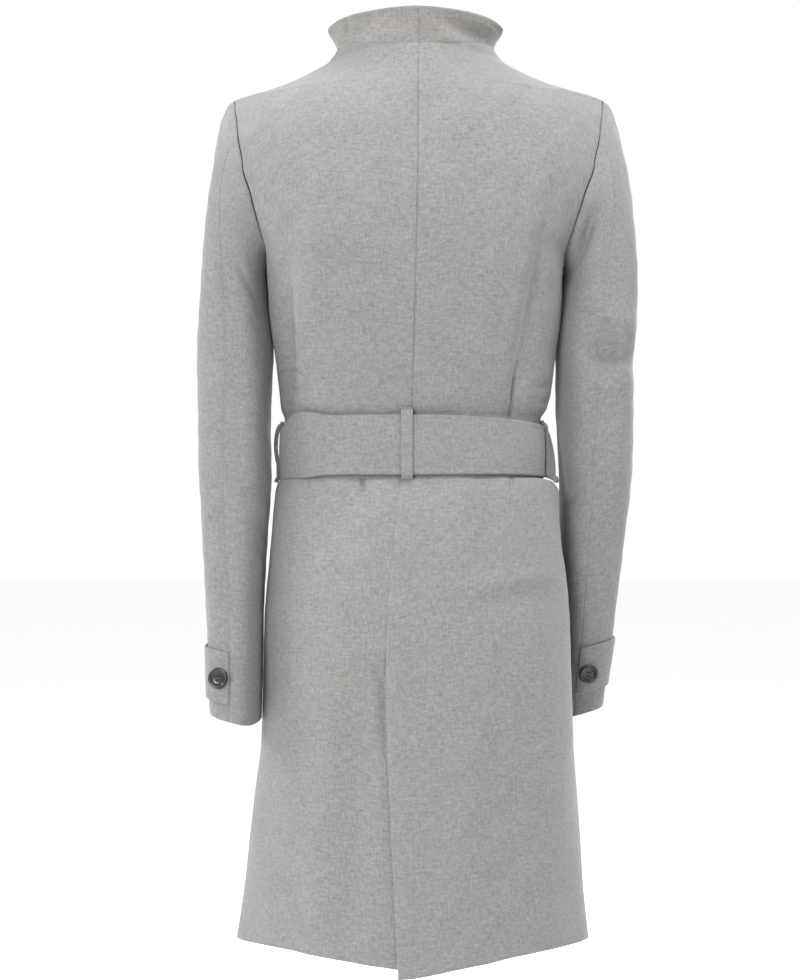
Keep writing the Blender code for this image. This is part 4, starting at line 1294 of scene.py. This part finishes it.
def cuff_button(word):
    side = SIDES[word]
    angle, level = TAB_BUTTON[side]
    rows = sleeve_row(side, level + np.array((-FEEL_STEP, 0.0, FEEL_STEP)))
    shares = np.array((0.0, 0.5, 1.0))
    points, outs, angles = sleeve_grid(side, angle - ANGLE_STEP, angle + ANGLE_STEP, shares, rows)
    creases, ripples = sleeve_raised(side, angles, points[..., 2])
    height = creases[1, 1] + ripples[1, 1] + REST_GAP + TAB_THICK
    button(f"cuff_button_{word}", points[1, 1] + height * outs[1, 1], outs[1, 1])


for word in SIDES:
    for face in FACE_SIGN:
        body_panel(word, face)
    for part in ("upper", "under"):
        sleeve_piece(word, part)
    cuff_tab(word)
    cuff_button(word)
    collar_half(word)
    belt_tail(word)
belt()
belt_knot()
for place, *form in LOOPS:
    belt_loop(f"belt_loop_{place}", *form)
for number, height in enumerate(FRONT_BUTTON_LEVELS, 1):
    spot = ("front", turn_at("front", 0.0, height), height)
    button(f"front_button_{number}", torso(*spot), torso_out(*spot))

# Camera, floor and light.
PHOTO_HEIGHT = 980
PHOTO_FOCAL = 1421.6
HORIZON_ROW = 540
SENSOR = 36.0
camera = add_object("camera", bpy.data.cameras.new("camera"))
camera.location = (0.0153, 1.45, -0.5)
camera.rotation_euler = (math.radians(90.0), 0.0, math.radians(180.0))
camera.data.sensor_width = SENSOR
camera.data.lens = SENSOR * PHOTO_FOCAL / PHOTO_HEIGHT
camera.data.shift_y = (HORIZON_ROW - 0.5 * PHOTO_HEIGHT) / PHOTO_HEIGHT
bpy.context.scene.camera = camera

FLOOR_LEVEL = -1.4
FLOOR_SIZE = 30.0
bm = bmesh.new()
bmesh.ops.create_grid(bm, x_segments=1, y_segments=1, size=FLOOR_SIZE)
bmesh.ops.translate(bm, verts=bm.verts[:], vec=(0.0, 0.0, FLOOR_LEVEL))
floor_data = bpy.data.meshes.new("floor")
bm.to_mesh(floor_data)
bm.free()
pale = new_material("pale_floor", Base_Color=(0.97, 0.97, 0.97, 1.0), Roughness=0.9)[0]
floor_data.materials.append(pale)
floor = add_object("floor", floor_data)

world = bpy.data.worlds.new("studio")
world.use_nodes = True
set_inputs(world.node_tree.nodes["Background"], Color=(1.0, 1.0, 1.0, 1.0), Strength=1.0)
bpy.context.scene.world = world
bpy.context.scene.view_settings.view_transform = "Standard"


def area_light(name, place, target, size, power):
    light = add_object(name, bpy.data.lights.new(name, "AREA"))
    light.data.energy = power
    light.data.size = size
    light.location = place
    light.rotation_mode = "QUATERNION"
    light.rotation_quaternion = (Vector(target) - Vector(place)).to_track_quat("-Z", "Y")
    light.visible_camera = False


area_light("key", (2.6, -0.1, 0.9), (0.0, 0.0, -0.4), 0.7, 46.0)
area_light("fill", (1.1, 2.55, 0.2), (0.0, 0.0, -0.45), 1.0, 68.0)
area_light("top", (-0.6, 0.5, 1.5), (0.0, 0.0, -0.2), 0.8, 50.0)
area_light("front", (-0.9, -2.5, 0.5), (0.0, 0.0, -0.45), 1.6, 80.0)
